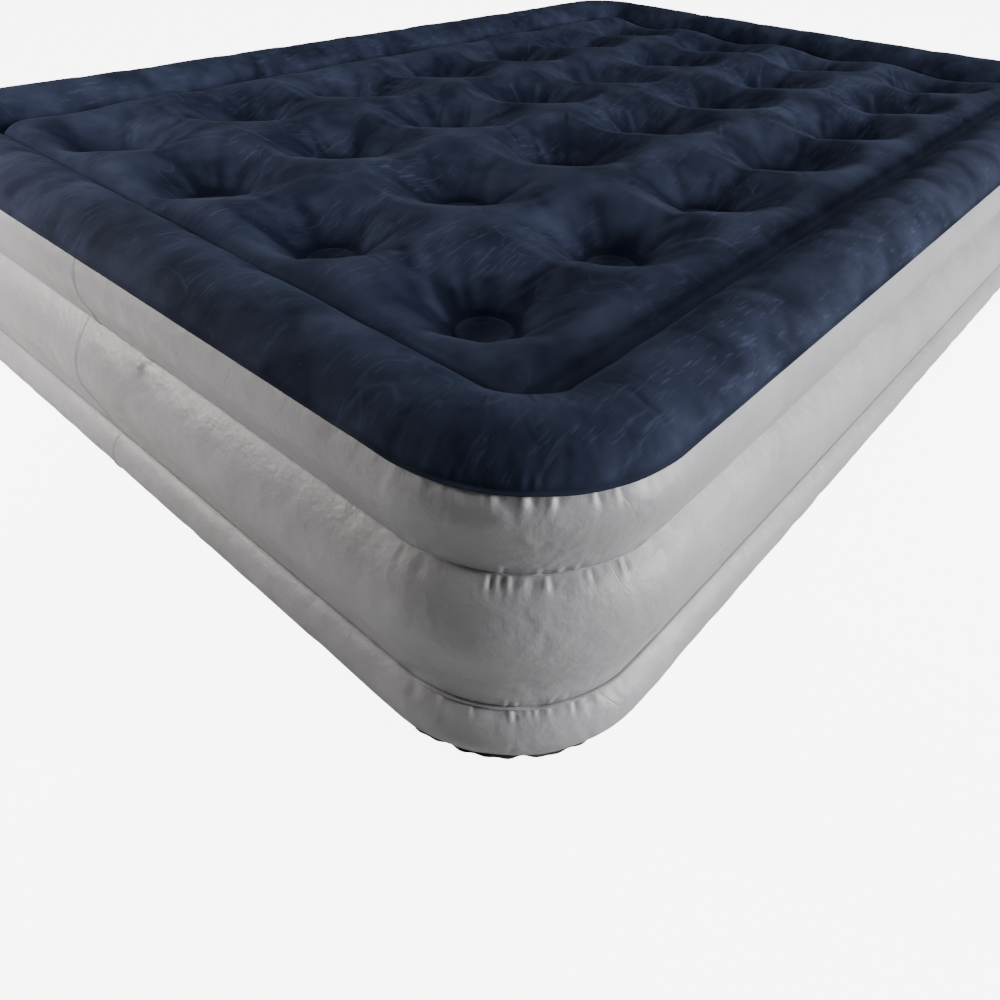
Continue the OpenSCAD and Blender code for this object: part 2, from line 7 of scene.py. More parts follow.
# %% Load the frame
import bpy
import json
import math
import numpy as np
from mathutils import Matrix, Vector

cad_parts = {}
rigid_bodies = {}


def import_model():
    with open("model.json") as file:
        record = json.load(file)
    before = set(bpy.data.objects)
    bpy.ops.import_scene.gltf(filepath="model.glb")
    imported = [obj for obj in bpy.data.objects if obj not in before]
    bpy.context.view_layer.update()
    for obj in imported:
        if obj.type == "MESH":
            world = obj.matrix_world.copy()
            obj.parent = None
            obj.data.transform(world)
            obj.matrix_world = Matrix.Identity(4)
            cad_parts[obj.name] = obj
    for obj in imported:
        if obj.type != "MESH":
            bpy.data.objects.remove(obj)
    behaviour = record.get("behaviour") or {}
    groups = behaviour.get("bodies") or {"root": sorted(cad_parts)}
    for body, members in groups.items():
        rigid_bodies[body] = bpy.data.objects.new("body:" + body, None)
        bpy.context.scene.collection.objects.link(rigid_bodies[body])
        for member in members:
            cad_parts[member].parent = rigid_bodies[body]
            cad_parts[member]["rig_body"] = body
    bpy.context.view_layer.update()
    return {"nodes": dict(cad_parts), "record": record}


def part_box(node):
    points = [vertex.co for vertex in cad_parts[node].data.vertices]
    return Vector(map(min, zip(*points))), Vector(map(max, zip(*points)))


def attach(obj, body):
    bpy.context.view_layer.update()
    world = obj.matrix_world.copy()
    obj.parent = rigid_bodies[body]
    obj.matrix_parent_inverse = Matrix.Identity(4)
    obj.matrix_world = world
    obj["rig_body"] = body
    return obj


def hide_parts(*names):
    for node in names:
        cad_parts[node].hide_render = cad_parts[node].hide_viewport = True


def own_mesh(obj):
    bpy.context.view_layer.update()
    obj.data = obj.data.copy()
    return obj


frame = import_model()
bpy.ops.object.select_all(action="DESELECT")
print("nodes in the frame:", len(frame["nodes"]))

# %% [markdown]
# ## The sizes that the skin follows
# Each seam is a line round the bed at one inset from its widest outline and at one height.
# The heights and insets come from the CAD boxes. Only what a box can't give stands here as a
# number: the plan radius of the corners, the crest of the rim and how far seams sit in the skin.

# %% Seam lines
MM = 0.001
upper_low, upper_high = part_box("upper_side_band")
middle_low, middle_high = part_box("middle_side_band")
HALF_L = upper_high.x
HALF_W = upper_high.y
CORNER = 192 * MM
SEAM_Z = upper_high.z
WAIST_TOP_Z = (upper_low.z + middle_high.z) / 2
WAIST_LOW_Z = (middle_low.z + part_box("lower_side_band")[1].z) / 2
WAIST_INSET = HALF_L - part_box("mid_sheet")[1].x
SEAM_INSET = HALF_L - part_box("flocked_top_sheet")[1].x + 9 * MM
CREST_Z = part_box("flocked_top_sheet")[1].z
CREST_INSET = 85 * MM
GROOVE_INSET = HALF_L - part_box("rim_wall")[1].x
GROOVE_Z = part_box("rim_wall")[1].z + 2 * MM
PANEL_Z = CREST_Z - 22 * MM
WELD_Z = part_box("upper_air_coils")[1].z + 2 * MM
COIL_R = 35 * MM
coil_low, coil_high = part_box("upper_air_coils")
COILS_LONG, COILS_WIDE = 7, 4
SPAN_X = coil_high.x - coil_low.x - 2 * COIL_R
SPAN_Y = coil_high.y - coil_low.y - 2 * COIL_R
COILS_X = [coil_low.x + COIL_R + i * SPAN_X / (COILS_LONG - 1) for i in range(COILS_LONG)]
COILS_Y = [coil_low.y + COIL_R + j * SPAN_Y / (COILS_WIDE - 1) for j in range(COILS_WIDE)]
rng = np.random.default_rng(7)
print("half length and width", round(HALF_L, 3), round(HALF_W, 3), "seam", round(SEAM_Z, 3))

# %% [markdown]
# ## The camera and the light
# The camera looks down at the foot-end corner. It is close, so the bed runs out of view on both
# sides. It comes first, because everything after it is judged through it.

# %% Camera
YAW, PITCH, ROLL = 0.705, 0.597, 0.040
BEYOND_FOOT, BEYOND_SIDE, EYE_Z = 0.283, 0.186, 0.727
FILM, FOCAL_PER_FILM = 36, 0.80627
bpy.ops.object.camera_add(location=(-HALF_L - BEYOND_FOOT, -HALF_W - BEYOND_SIDE, EYE_Z))
camera = bpy.context.object
camera.name = "camera"
forward = Vector((math.cos(YAW) * math.cos(PITCH), math.sin(YAW) * math.cos(PITCH), -math.sin(PITCH)))
level = forward.cross(Vector((0, 0, 1))).normalized()
upward = level.cross(forward)
right = level * math.cos(ROLL) + upward * math.sin(ROLL)
up = upward * math.cos(ROLL) - level * math.sin(ROLL)
camera.rotation_mode = "QUATERNION"
turned = camera.matrix_world.to_3x3()
turned.col[0], turned.col[1], turned.col[2] = right, up, -forward
camera.rotation_quaternion = turned.to_quaternion()
camera.data.sensor_width = FILM
camera.data.lens = FOCAL_PER_FILM * FILM
camera.data.shift_y = -0.1
camera.data.clip_start = 0.02
bpy.context.scene.camera = camera
print("camera at", [round(v, 3) for v in camera.location])

# %% [markdown]
# A white floor and a pale room keep the surroundings plain. One soft lamp stands low beside the
# long side, a small one close to the far end of the foot wall, and a wide one hangs over the top,
# so the near corner turns into soft shade. The floor and the room look whiter to the camera than
# the light they give off, as on a lit table, so they don't fill that shade.

# %% Floor
FLOOR_GLOW = 7.0
bpy.ops.mesh.primitive_plane_add(size=30, location=(0, 0, -0.0005))
floor = bpy.context.object
floor.name = "floor"
floor_paint = bpy.data.materials.new("floor_white")
floor_paint.use_nodes = True
floor_shader = floor_paint.node_tree.nodes["Principled BSDF"]
floor_shader.inputs["Base Color"].default_value = (0.50, 0.50, 0.50, 1)
floor_shader.inputs["Roughness"].default_value = 0.9
floor_shader.inputs["Emission Color"].default_value = (1, 1, 1, 1)
seen = floor_paint.node_tree.nodes.new("ShaderNodeLightPath")
glow = floor_paint.node_tree.nodes.new("ShaderNodeMath")
glow.operation = "MULTIPLY"
glow.inputs[1].default_value = FLOOR_GLOW
floor_paint.node_tree.links.new(seen.outputs["Is Camera Ray"], glow.inputs[0])
floor_paint.node_tree.links.new(glow.outputs[0], floor_shader.inputs["Emission Strength"])
floor.data.materials.append(floor_paint)
print("floor at", round(floor.location.z, 4))

# %% [markdown]
# Each lamp is a square area light. Its size sets how soft a shadow's edge is, and its place and
# watts set the fall of light along a wall.

# %% Lamps and room


def soft_lamp(name, place, aim, size, watts, tint):
    """A square lamp that looks from its place at its aim."""
    bpy.ops.object.light_add(type="AREA", location=place)
    lamp = bpy.context.object
    lamp.name = name
    lamp.data.size = size
    lamp.data.energy = watts
    lamp.data.color = tint
    lamp.rotation_mode = "QUATERNION"
    lamp.rotation_quaternion = (Vector(aim) - Vector(place)).to_track_quat("-Z", "Y")


soft_lamp("key_lamp", (1.2, -3.8, 1.35), (-0.4, -0.6, 0.2), 1.3, 335, (0.97, 0.985, 1.0))
soft_lamp("back_lamp", (-1.50, 0.72, 0.75), (-0.97, 0.40, 0.2), 0.40, 22, (1.0, 0.965, 0.93))
soft_lamp("top_lamp", (0.9, -0.9, 4.0), (0.2, -0.7, 0.0), 3.4, 95, (1.0, 1.0, 1.0))
world = bpy.data.worlds.new("room")
bpy.context.scene.world = world
world.use_nodes = True
room = world.node_tree.nodes["Background"]
room.inputs["Color"].default_value = (1, 1, 1, 1)
looked_at = world.node_tree.nodes.new("ShaderNodeLightPath")
room_light = world.node_tree.nodes.new("ShaderNodeMapRange")
room_light.inputs["To Min"].default_value = 0.05
room_light.inputs["To Max"].default_value = 8.0
world.node_tree.links.new(looked_at.outputs["Is Camera Ray"], room_light.inputs["Value"])
world.node_tree.links.new(room_light.outputs["Result"], room.inputs["Strength"])

# %% [markdown]
# ## Wrapping a sheet round the bed
# Every ring of skin is a flat grid primitive wrapped round the bed's plan. One direction of the
# grid runs round the bed, in stations that stand closer together in the corners, and the other
# follows an outline of inset and height. Extruding a loop row by row gives the same surface, but
# the grid keeps its rows and columns in order, so that each later step can find a seam by row.

# %% The plan's stations
STRAIGHT_STEP = 8 * MM
CORNER_STATIONS = 100
CORNER_REACH = 0.10


def plan_stations():
    """Points, outward normals, closeness to a corner and run along the plan, from the far corner."""
    points, normals, corner = [], [], []
    sides = [((1, 0), (0, 1)), ((0, 1), (-1, 0)), ((-1, 0), (0, -1)), ((0, -1), (1, 0))]
    for out, along in sides:
        half_out = HALF_L if out[0] else HALF_W
        half_run = (HALF_W if out[0] else HALF_L) - CORNER
        count = round(2 * half_run / STRAIGHT_STEP)
        for i in range(count):
            run = -half_run + 2 * half_run * i / count
            points.append((out[0] * half_out + along[0] * run, out[1] * half_out + along[1] * run))
            normals.append(out)
            corner.append(max(0.0, 1 - (half_run - abs(run)) / CORNER_REACH))
        centre = [out[k] * (half_out - CORNER) + along[k] * half_run for k in (0, 1)]
        for i in range(CORNER_STATIONS):
            a = math.pi / 2 * i / CORNER_STATIONS
            n = [out[k] * math.cos(a) + along[k] * math.sin(a) for k in (0, 1)]
            points.append((centre[0] + CORNER * n[0], centre[1] + CORNER * n[1]))
            normals.append(n)
            corner.append(1.0)
    return np.array(points), np.array(normals, float), np.array(corner)


PLAN, NORMAL, IN_CORNER = plan_stations()
STATIONS = len(PLAN)
RUN = np.concatenate([[0], np.cumsum(np.linalg.norm(np.diff(PLAN, axis=0), axis=1))])
LAP = RUN[-1] + np.linalg.norm(PLAN[0] - PLAN[-1])
print("stations round the bed:", STATIONS, "lap", round(LAP, 3))

# %% [markdown]
# A ring of skin is a flat grid primitive whose points are moved to the stations, and whose last
# column is then bridged to its first.

# %% The wrap


def even_rows(outline, step):
    """Points at an even step along an outline of [inset, height] pairs."""
    line = np.array(outline, float)
    run = np.concatenate([[0], np.cumsum(np.linalg.norm(np.diff(line, axis=0), axis=1))])
    rows = max(3, round(run[-1] / step) + 1)
    at = np.linspace(0, run[-1], rows)
    return np.stack([np.interp(at, run, line[:, k]) for k in (0, 1)], axis=1), at


def placed(rows):
    """The place of every station of every row, as an array of rows, stations and x, y, z."""
    flat = PLAN[None] - rows[:, 0, None, None] * NORMAL[None]
    height = np.broadcast_to(rows[:, 1, None, None], flat.shape[:2] + (1,))
    return np.concatenate([flat, height], axis=2)


def new_grid(name, rows, columns):
    """A flat grid primitive with so many rows and columns of points."""
    bpy.ops.mesh.primitive_grid_add(x_subdivisions=columns - 1, y_subdivisions=rows - 1, size=1)
    piece = bpy.context.object
    piece.name = name
    piece.data.name = name
    return piece


def write_points(piece, points):
    """Moves every point of a piece to its place in an array."""
    piece.data.vertices.foreach_set("co", np.ascontiguousarray(points, dtype=np.float32).reshape(-1))
    piece.data.update()


def read_points(mesh):
    """The places of a mesh's points as an array."""
    points = np.zeros(len(mesh.vertices) * 3, np.float32)
    mesh.vertices.foreach_get("co", points)
    return points.reshape(-1, 3).astype(float)


def bridge_ends(piece, rows):
    """Bridges the last column of a wrapped grid to its first, and stays in edit mode."""
    first = set(range(0, rows * STATIONS, STATIONS))
    last = set(range(STATIONS - 1, rows * STATIONS, STATIONS))
    bpy.ops.object.mode_set(mode="EDIT")
    bpy.ops.mesh.select_mode(type="EDGE")
    bpy.ops.mesh.select_all(action="DESELECT")
    bpy.ops.object.mode_set(mode="OBJECT")
    for edge in piece.data.edges:
        edge.select = set(edge.vertices) <= first or set(edge.vertices) <= last
    bpy.ops.object.mode_set(mode="EDIT")
    bpy.ops.mesh.bridge_edge_loops()


def face_outwards():
    """Turns the faces of the piece in edit mode outwards and leaves edit mode."""
    bpy.ops.mesh.select_all(action="SELECT")
    bpy.ops.mesh.normals_make_consistent(inside=False)
    bpy.ops.object.mode_set(mode="OBJECT")


def wrapped(name, outline, step):
    """A ring of skin: a grid wrapped round the bed, its rows at an even step along the outline."""
    rows, run = even_rows(outline, step)
    piece = new_grid(name, len(rows), STATIONS)
    write_points(piece, placed(rows))
    bridge_ends(piece, len(rows))
    face_outwards()
    print(name, "rows", len(rows), "points", len(piece.data.vertices))
    return piece, rows, run


def bulged(start, end, bulge, lean, steps=24):
    """An outline between two welds that swells outwards by bulge, most above the middle."""
    t = np.linspace(0, 1, steps + 1)
    inset = start[0] + (end[0] - start[0]) * t - bulge * np.sin(math.pi * t ** lean)
    return np.stack([inset, start[1] + (end[1] - start[1]) * t], axis=1)


# %% [markdown]
# ## The side tiers
# Each tier is one band between two welds. Air pushes it out most above the middle, and the middle
# tier stands out furthest, because it is the tallest. The welds lie on a smaller corner than the
# band's middle, so the band has cloth to spare there and puckers.

# %% Three tiers
WELD_OUT = 1 * MM
FINE_STEP, WIDE_STEP = 4.6 * MM, 5.6 * MM
waist_in = WAIST_INSET - WELD_OUT
base_weld = (waist_in - 2 * MM, 7 * MM)
low_weld = (waist_in, WAIST_LOW_Z)
top_weld = (waist_in, WAIST_TOP_Z)
seam_weld = (SEAM_INSET, SEAM_Z - 0.5 * MM)
upper_outline = bulged(top_weld, seam_weld, 13 * MM, 1.8)
middle_outline = bulged(low_weld, top_weld, 31 * MM, 1.7)
lower_outline = bulged(base_weld, low_weld, 20 * MM, 1.25)
upper_wall, upper_rows, upper_run = wrapped("upper_wall", upper_outline, FINE_STEP)
middle_wall, middle_rows, middle_run = wrapped("middle_wall", middle_outline, WIDE_STEP)
lower_wall, lower_rows, lower_run = wrapped("lower_wall", lower_outline, FINE_STEP)
print("waist welds at", round(WAIST_LOW_Z, 4), "and", round(WAIST_TOP_Z, 4))

# %% [markdown]
# ## The flocked top
# The rim is one roll between the outer seam and the inner groove. The panel inside it is pulled
# down at 28 welds. The rim is a ring and the panel is a plain grid, because a ring has no middle
# and a grid has no round corner: they meet in the groove, where the roll hides the join.

# %% Rim
RIM_FOOT_Z = SEAM_Z + 1.5 * MM
angles = np.linspace(0, math.pi / 2, 14)
rim_out = [(CREST_INSET - (CREST_INSET - SEAM_INSET) * math.cos(a),
            RIM_FOOT_Z + (CREST_Z - SEAM_Z - 1.5 * MM) * math.sin(a)) for a in angles]
rim_in = [(CREST_INSET + (GROOVE_INSET - CREST_INSET) * math.sin(a) ** 1.15,
           GROOVE_Z + (CREST_Z - GROOVE_Z) * math.cos(a)) for a in angles[1:]]
rim_roll, rim_rows, rim_run = wrapped("rim_roll", rim_out + rim_in, 5.4 * MM)
print("rim from", round(RIM_FOOT_Z, 4), "over", round(CREST_Z, 4), "down to", round(GROOVE_Z, 4))

# %% [markdown]
# The panel's height follows from two distances: to its edge, where it comes up out of the groove,
# and to the nearest weld, where it sinks into a dimple.

# %% Heights of the panel
PANEL_STEP = 6.5 * MM
PANEL_CORNER = CORNER - GROOVE_INSET
EDGE_WIDTH = 55 * MM
DIMPLE_WIDTH = 112 * MM


def weld_distance(x, y):
    """Distance to the nearest of the 28 weld centres."""
    dx = np.min(np.abs(x[..., None] - np.array(COILS_X)), axis=-1)
    dy = np.min(np.abs(y[..., None] - np.array(COILS_Y)), axis=-1)
    return np.hypot(dx, dy)


def edge_distance(x, y, inset, radius):
    """Distance inwards from a rounded rectangle, negative outside it."""
    qx = np.abs(x) - (HALF_L - inset - radius)
    qy = np.abs(y) - (HALF_W - inset - radius)
    outside = np.hypot(np.maximum(qx, 0), np.maximum(qy, 0))
    return radius - outside - np.minimum(np.maximum(qx, qy), 0)


def panel_height(x, y):
    """The panel rises out of the groove and sinks into a dimple round every weld."""
    edge = np.clip(edge_distance(x, y, GROOVE_INSET, PANEL_CORNER) / EDGE_WIDTH, 0, 1)
    height = GROOVE_Z + (PANEL_Z - GROOVE_Z) * np.sqrt(1 - (1 - edge) ** 2)
    beyond = np.maximum(weld_distance(x, y) - COIL_R, 0)
    crater = 1 - np.sin(np.clip(beyond / DIMPLE_WIDTH, 0, 1) * math.pi / 2) ** 1.12
    return height - (height - WELD_Z) * crater


# %% [markdown]
# The panel is a plain grid. Points beyond its round corners are pulled onto the corner's arc.

# %% Panel
panel_nx = round(2 * (HALF_L - GROOVE_INSET) / PANEL_STEP) + 1
panel_ny = round(2 * (HALF_W - GROOVE_INSET) / PANEL_STEP) + 1
gx, gy = np.meshgrid(np.linspace(-1, 1, panel_nx) * (HALF_L - GROOVE_INSET),
                     np.linspace(-1, 1, panel_ny) * (HALF_W - GROOVE_INSET))
past = edge_distance(gx, gy, GROOVE_INSET, PANEL_CORNER)
cx = HALF_L - GROOVE_INSET - PANEL_CORNER
cy = HALF_W - GROOVE_INSET - PANEL_CORNER
qx, qy = np.maximum(np.abs(gx) - cx, 0), np.maximum(np.abs(gy) - cy, 0)
pull = np.where(past < 0, PANEL_CORNER / np.maximum(np.hypot(qx, qy), 1e-9), 1)
gx = np.where(past < 0, np.sign(gx) * (cx + qx * pull), gx)
gy = np.where(past < 0, np.sign(gy) * (cy + qy * pull), gy)
panel = new_grid("panel", panel_ny, panel_nx)
panel_points = np.stack([gx, gy, panel_height(gx, gy)], axis=2)
write_points(panel, panel_points)
print("panel grid", panel_nx, "by", panel_ny)

# %% [markdown]
# ## Finishes
# A flocked sheet is PVC with short nylon fibres glued on end. It looks darkest where you look into
# the pile and lighter where the pile is brushed over. Bare PVC is satin, with a fine calendered
# grain. A picture could give both, but nodes stay sharp at any distance and need no UV map.
# The effects that several finishes share are node groups, built once.

# %% Helpers for nodes


def put(tree, kind, inputs=None, **settings):
    """A node with its settings; each input is linked to a socket or set to a value."""
    made = tree.nodes.new(kind)
    for key, value in settings.items():
        setattr(made, key, value)
    for key, value in (inputs or {}).items():
        if isinstance(value, bpy.types.NodeSocket):
            tree.links.new(value, made.inputs[key])
        else:
            made.inputs[key].default_value = value
    return made


def calc(tree, operation, *values):
    """The result of a Math node."""
    return put(tree, "ShaderNodeMath", dict(enumerate(values)), operation=operation).outputs[0]


def spread(tree, value, low, high, to_low=0.0, to_high=1.0):
    """Stretches low..high to a new range and clamps what lies outside."""
    inputs = {0: value, 1: low, 2: high, 3: to_low, 4: to_high}
    return put(tree, "ShaderNodeMapRange", inputs).outputs[0]


def noise(tree, where, scale, detail=2.0):
    """The value of a Noise Texture."""
    return put(tree, "ShaderNodeTexNoise", {"Vector": where, "Scale": scale, "Detail": detail}).outputs[0]


def mixed(tree, amount, first, second):
    """A colour between two colours."""
    return put(tree, "ShaderNodeMix", {0: amount, 6: first, 7: second}, data_type="RGBA").outputs[2]


def new_group(name, inputs, outputs):
    """A node group with a Where vector, number inputs with their usual values, and number outputs."""
    tree = bpy.data.node_groups.new(name, "ShaderNodeTree")
    tree.interface.new_socket("Where", in_out="INPUT", socket_type="NodeSocketVector")
    for key, value in inputs.items():
        tree.interface.new_socket(key, in_out="INPUT", socket_type="NodeSocketFloat").default_value = value
    for key in outputs:
        tree.interface.new_socket(key, in_out="OUTPUT", socket_type="NodeSocketFloat")
    return tree, tree.nodes.new("NodeGroupInput").outputs, tree.nodes.new("NodeGroupOutput").inputs


# %% Shared effects
grain, given, gives = new_group("grain", {"Scale": 1500.0}, ["Height"])
fine = noise(grain, given["Where"], given["Scale"], 3.0)
broad = noise(grain, given["Where"], calc(grain, "MULTIPLY", given["Scale"], 0.08), 2.0)
grain.links.new(calc(grain, "ADD", fine, calc(grain, "MULTIPLY", broad, 0.8)), gives["Height"])

brushed, given, gives = new_group("brush_marks", {"Scale": 26.0}, ["Marks"])
strokes = []
for turn in (0.62, -0.8, 1.9):
    drawn_out = put(brushed, "ShaderNodeMapping", {"Vector": given["Where"], "Rotation": (0, 0, turn),
                                                    "Scale": (1.0, 7.0, 1.0)})
    stroke = noise(brushed, drawn_out.outputs[0], given["Scale"], 3.0)
    strokes.append(spread(brushed, stroke, 0.61, 0.72))
patches = spread(brushed, noise(brushed, given["Where"], 7.0, 2.0), 0.42, 0.66)
all_strokes = calc(brushed, "MAXIMUM", calc(brushed, "MAXIMUM", strokes[0], strokes[1]), strokes[2])
brushed.links.new(calc(brushed, "MULTIPLY", all_strokes, patches), gives["Marks"])

lint, given, gives = new_group("lint", {"Scale": 85.0, "Size": 0.07}, ["Specks"])
cells = put(lint, "ShaderNodeTexVoronoi", {"Vector": given["Where"], "Scale": given["Scale"]})
speck = calc(lint, "LESS_THAN", cells.outputs["Distance"], given["Size"])
few = put(lint, "ShaderNodeSeparateColor", {0: cells.outputs["Color"]}).outputs[0]
lint.links.new(calc(lint, "MULTIPLY", speck, calc(lint, "GREATER_THAN", few, 0.72)), gives["Specks"])

hairlines, given, gives = new_group("hairlines", {"Scale": 9.0, "Width": 0.012}, ["Lines"])
bent = noise(hairlines, given["Where"], given["Scale"], 2.5)
away = calc(hairlines, "ABSOLUTE", calc(hairlines, "SUBTRACT", bent, 0.5))
line = spread(hairlines, away, 0.0, given["Width"], 1.0, 0.0)
here = spread(hairlines, noise(hairlines, given["Where"], 14.0, 1.0), 0.52, 0.62)
hairlines.links.new(calc(hairlines, "MULTIPLY", line, here), gives["Lines"])
print("shared effects:", [g.name for g in bpy.data.node_groups])

# %% [markdown]
# Every finish starts from a Principled shader and the object's own coordinates, so the pattern
# stays on the piece when it moves.

# %% The finishes' common start


def new_finish(name, roughness, **fixed):
    """A material with object coordinates; the values that are the same all over are set here."""
    finish = bpy.data.materials.new(name)
    finish.use_nodes = True
    tree = finish.node_tree
    shader = tree.nodes["Principled BSDF"]
    shader.inputs["Roughness"].default_value = roughness
    for key, value in fixed.items():
        shader.inputs[key.replace("_", " ")].default_value = value
    where = put(tree, "ShaderNodeTexCoord").outputs["Object"]
    return finish, tree, shader, where


def effect(tree, group, where, **values):
    """A shared effect with its own values; returns its only output."""
    made = tree.nodes.new("ShaderNodeGroup")
    made.node_tree = group
    tree.links.new(where, made.inputs["Where"])
    for key, value in values.items():
        made.inputs[key].default_value = value
    return made.outputs[0]


def bump(tree, shader, height, strength, distance):
    """A Bump node on the shader's normal."""
    made = put(tree, "ShaderNodeBump", {"Height": height, "Strength": strength, "Distance": distance})
    tree.links.new(made.outputs[0], shader.inputs["Normal"])


# %% [markdown]
# The flock is almost black where the pile stands. Brush marks and soft clouds lay it down, and there it
# goes paler. The crests of folds go paler too, partly as rubbed pile and partly as a painted highlight
# where they would catch the light.

# %% Flock


def flock_finish(name, dark, light, lift):
    """Pile: dark where it stands, paler where brush marks and clouds lay it down, and paler on fold crests
    as rubbed pile and painted highlight.
    """
    finish, tree, shader, where = new_finish(name, 0.92, Specular_IOR_Level=0.10, Sheen_Weight=0.03,
                                             Sheen_Roughness=0.45, Sheen_Tint=(0.30, 0.38, 0.60, 1))
    fold = put(tree, "ShaderNodeAttribute", attribute_name="fold").outputs["Fac"]
    marks = effect(tree, brushed, where, Scale=26.0)
    lines = effect(tree, hairlines, where, Scale=6.0, Width=0.006)
    clouds = spread(tree, noise(tree, where, 13.0, 6.0), 0.38, 0.72, 0.0, 0.62)
    # The fold crests add a painted highlight to the laid-down pile, besides the brush marks and hairlines.
    laid_pile_and_crest_highlight = calc(tree, "ADD", calc(tree, "MULTIPLY", fold, 0.75), calc(tree, "MULTIPLY", marks, 0.52))
    laid_pile_and_crest_highlight = calc(tree, "ADD", laid_pile_and_crest_highlight, calc(tree, "MULTIPLY", lines, 0.26))
    amount = spread(tree, calc(tree, "ADD", laid_pile_and_crest_highlight, clouds), 0.0, 1.0, lift, 1.0)
    specks = effect(tree, lint, where, Scale=85.0, Size=0.06)
    colour = mixed(tree, amount, dark, light)
    colour = mixed(tree, calc(tree, "MULTIPLY", specks, 0.35), colour, (0.07, 0.08, 0.11, 1))
    tree.links.new(colour, shader.inputs["Base Color"])
    bump(tree, shader, effect(tree, grain, where, Scale=1300.0), 0.35, 0.0006)
    return finish


flock = flock_finish("flock_navy", (0.0045, 0.0067, 0.0170, 1), (0.032, 0.040, 0.073, 1), 0.0)
# The pressed flock is a little paler where it stands than the navy flock: pressed pile, and partly a
# painted highlight that brightens the weld rings.
pressed_flock = flock_finish("flock_pressed", (0.0052, 0.0072, 0.0160, 1), (0.032, 0.039, 0.066, 1), 0.08)
print("flocks:", flock.name, pressed_flock.name)

# %% [markdown]
# One function makes the wall, the base and the inner sheets, because they are the same material in three
# colours. Painted shade darkens the valleys of the folds, and soft clouds and the hairlines are a little
# darker too.

# %% PVC


def pvc_finish(name, clean, shade_and_dirt_colour, roughness, specular):
    """Satin sheet: a fine grain, soft ripples, darker hair-thin creases and clouds, and painted shade in
    the fold valleys.
    """
    finish, tree, shader, where = new_finish(name, roughness, Specular_IOR_Level=specular)
    fold = put(tree, "ShaderNodeAttribute", attribute_name="fold").outputs["Fac"]
    # Painted shade: the valleys of the folds are mixed towards the darker colour.
    valley = spread(tree, fold, -1.0, -0.05, 1.0, 0.0)
    clouds = spread(tree, noise(tree, where, 6.0, 3.0), 0.35, 0.65, 0.0, 0.30)
    lines = effect(tree, hairlines, where, Scale=7.0, Width=0.006)
    shade_and_dirt_amount = calc(tree, "ADD", calc(tree, "MULTIPLY", valley, 0.55), clouds)
    shade_and_dirt_amount = calc(tree, "ADD", shade_and_dirt_amount, calc(tree, "MULTIPLY", lines, 0.15))
    tree.links.new(mixed(tree, spread(tree, shade_and_dirt_amount, 0.0, 1.0), clean, shade_and_dirt_colour), shader.inputs["Base Color"])
    worn = spread(tree, noise(tree, where, 30.0, 3.0), 0.3, 0.7, roughness - 0.06, roughness + 0.08)
    tree.links.new(worn, shader.inputs["Roughness"])
    ripples = calc(tree, "MULTIPLY", noise(tree, where, 55.0, 3.0), 6.0)
    height = calc(tree, "ADD", effect(tree, grain, where, Scale=1700.0), ripples)
    height = calc(tree, "SUBTRACT", height, calc(tree, "MULTIPLY", lines, 1.2))
    bump(tree, shader, height, 0.55, 0.0005)
    return finish


side_pvc = pvc_finish("pvc_light_grey", (0.295, 0.290, 0.300, 1), (0.14, 0.135, 0.135, 1), 0.38, 0.5)
base_pvc = pvc_finish("pvc_base_dark", (0.030, 0.024, 0.022, 1), (0.012, 0.010, 0.010, 1), 0.55, 0.35)
inner_pvc = pvc_finish("pvc_inner", (0.42, 0.43, 0.45, 1), (0.30, 0.31, 0.33, 1), 0.50, 0.40)
print("sheets:", side_pvc.name, base_pvc.name, inner_pvc.name)

# %% [markdown]
# The pump's plastics have a fine mould grain, and its metals a drawn or cast surface.

# %% Pump finishes


def moulded_finish(name, base, rubbed, roughness, grain_scale, depth, **fixed):
    """Moulded plastic or rubber: spark-eroded grain, a little dust and a paler, rubbed cast."""
    finish, tree, shader, where = new_finish(name, roughness, **fixed)
    clouds = spread(tree, noise(tree, where, 24.0, 4.0), 0.40, 0.75, 0.0, 0.55)
    specks = effect(tree, lint, where, Scale=260.0, Size=0.05)
    amount = calc(tree, "ADD", clouds, calc(tree, "MULTIPLY", specks, 0.35))
    tree.links.new(mixed(tree, spread(tree, amount, 0.0, 1.0), base, rubbed), shader.inputs["Base Color"])
    worn = spread(tree, noise(tree, where, 70.0, 3.0), 0.3, 0.7, roughness - 0.07, roughness + 0.08)
    tree.links.new(worn, shader.inputs["Roughness"])
    bump(tree, shader, effect(tree, grain, where, Scale=grain_scale), 0.35, depth)
    return finish


def metal_finish(name, base, dull, roughness, stretch):
    """Drawn metal: fine lines along one direction and a duller cast in patches."""
    finish, tree, shader, where = new_finish(name, roughness, Metallic=1.0)
    drawn = put(tree, "ShaderNodeMapping", {"Vector": where, "Scale": stretch}).outputs[0]
    lines = noise(tree, drawn, 900.0, 2.0)
    patches = spread(tree, noise(tree, where, 60.0, 3.0), 0.35, 0.7)
    tree.links.new(mixed(tree, patches, base, dull), shader.inputs["Base Color"])
    tree.links.new(spread(tree, lines, 0.2, 0.8, roughness - 0.08, roughness + 0.12),
                   shader.inputs["Roughness"])
    bump(tree, shader, lines, 0.20, 0.0001)
    return finish


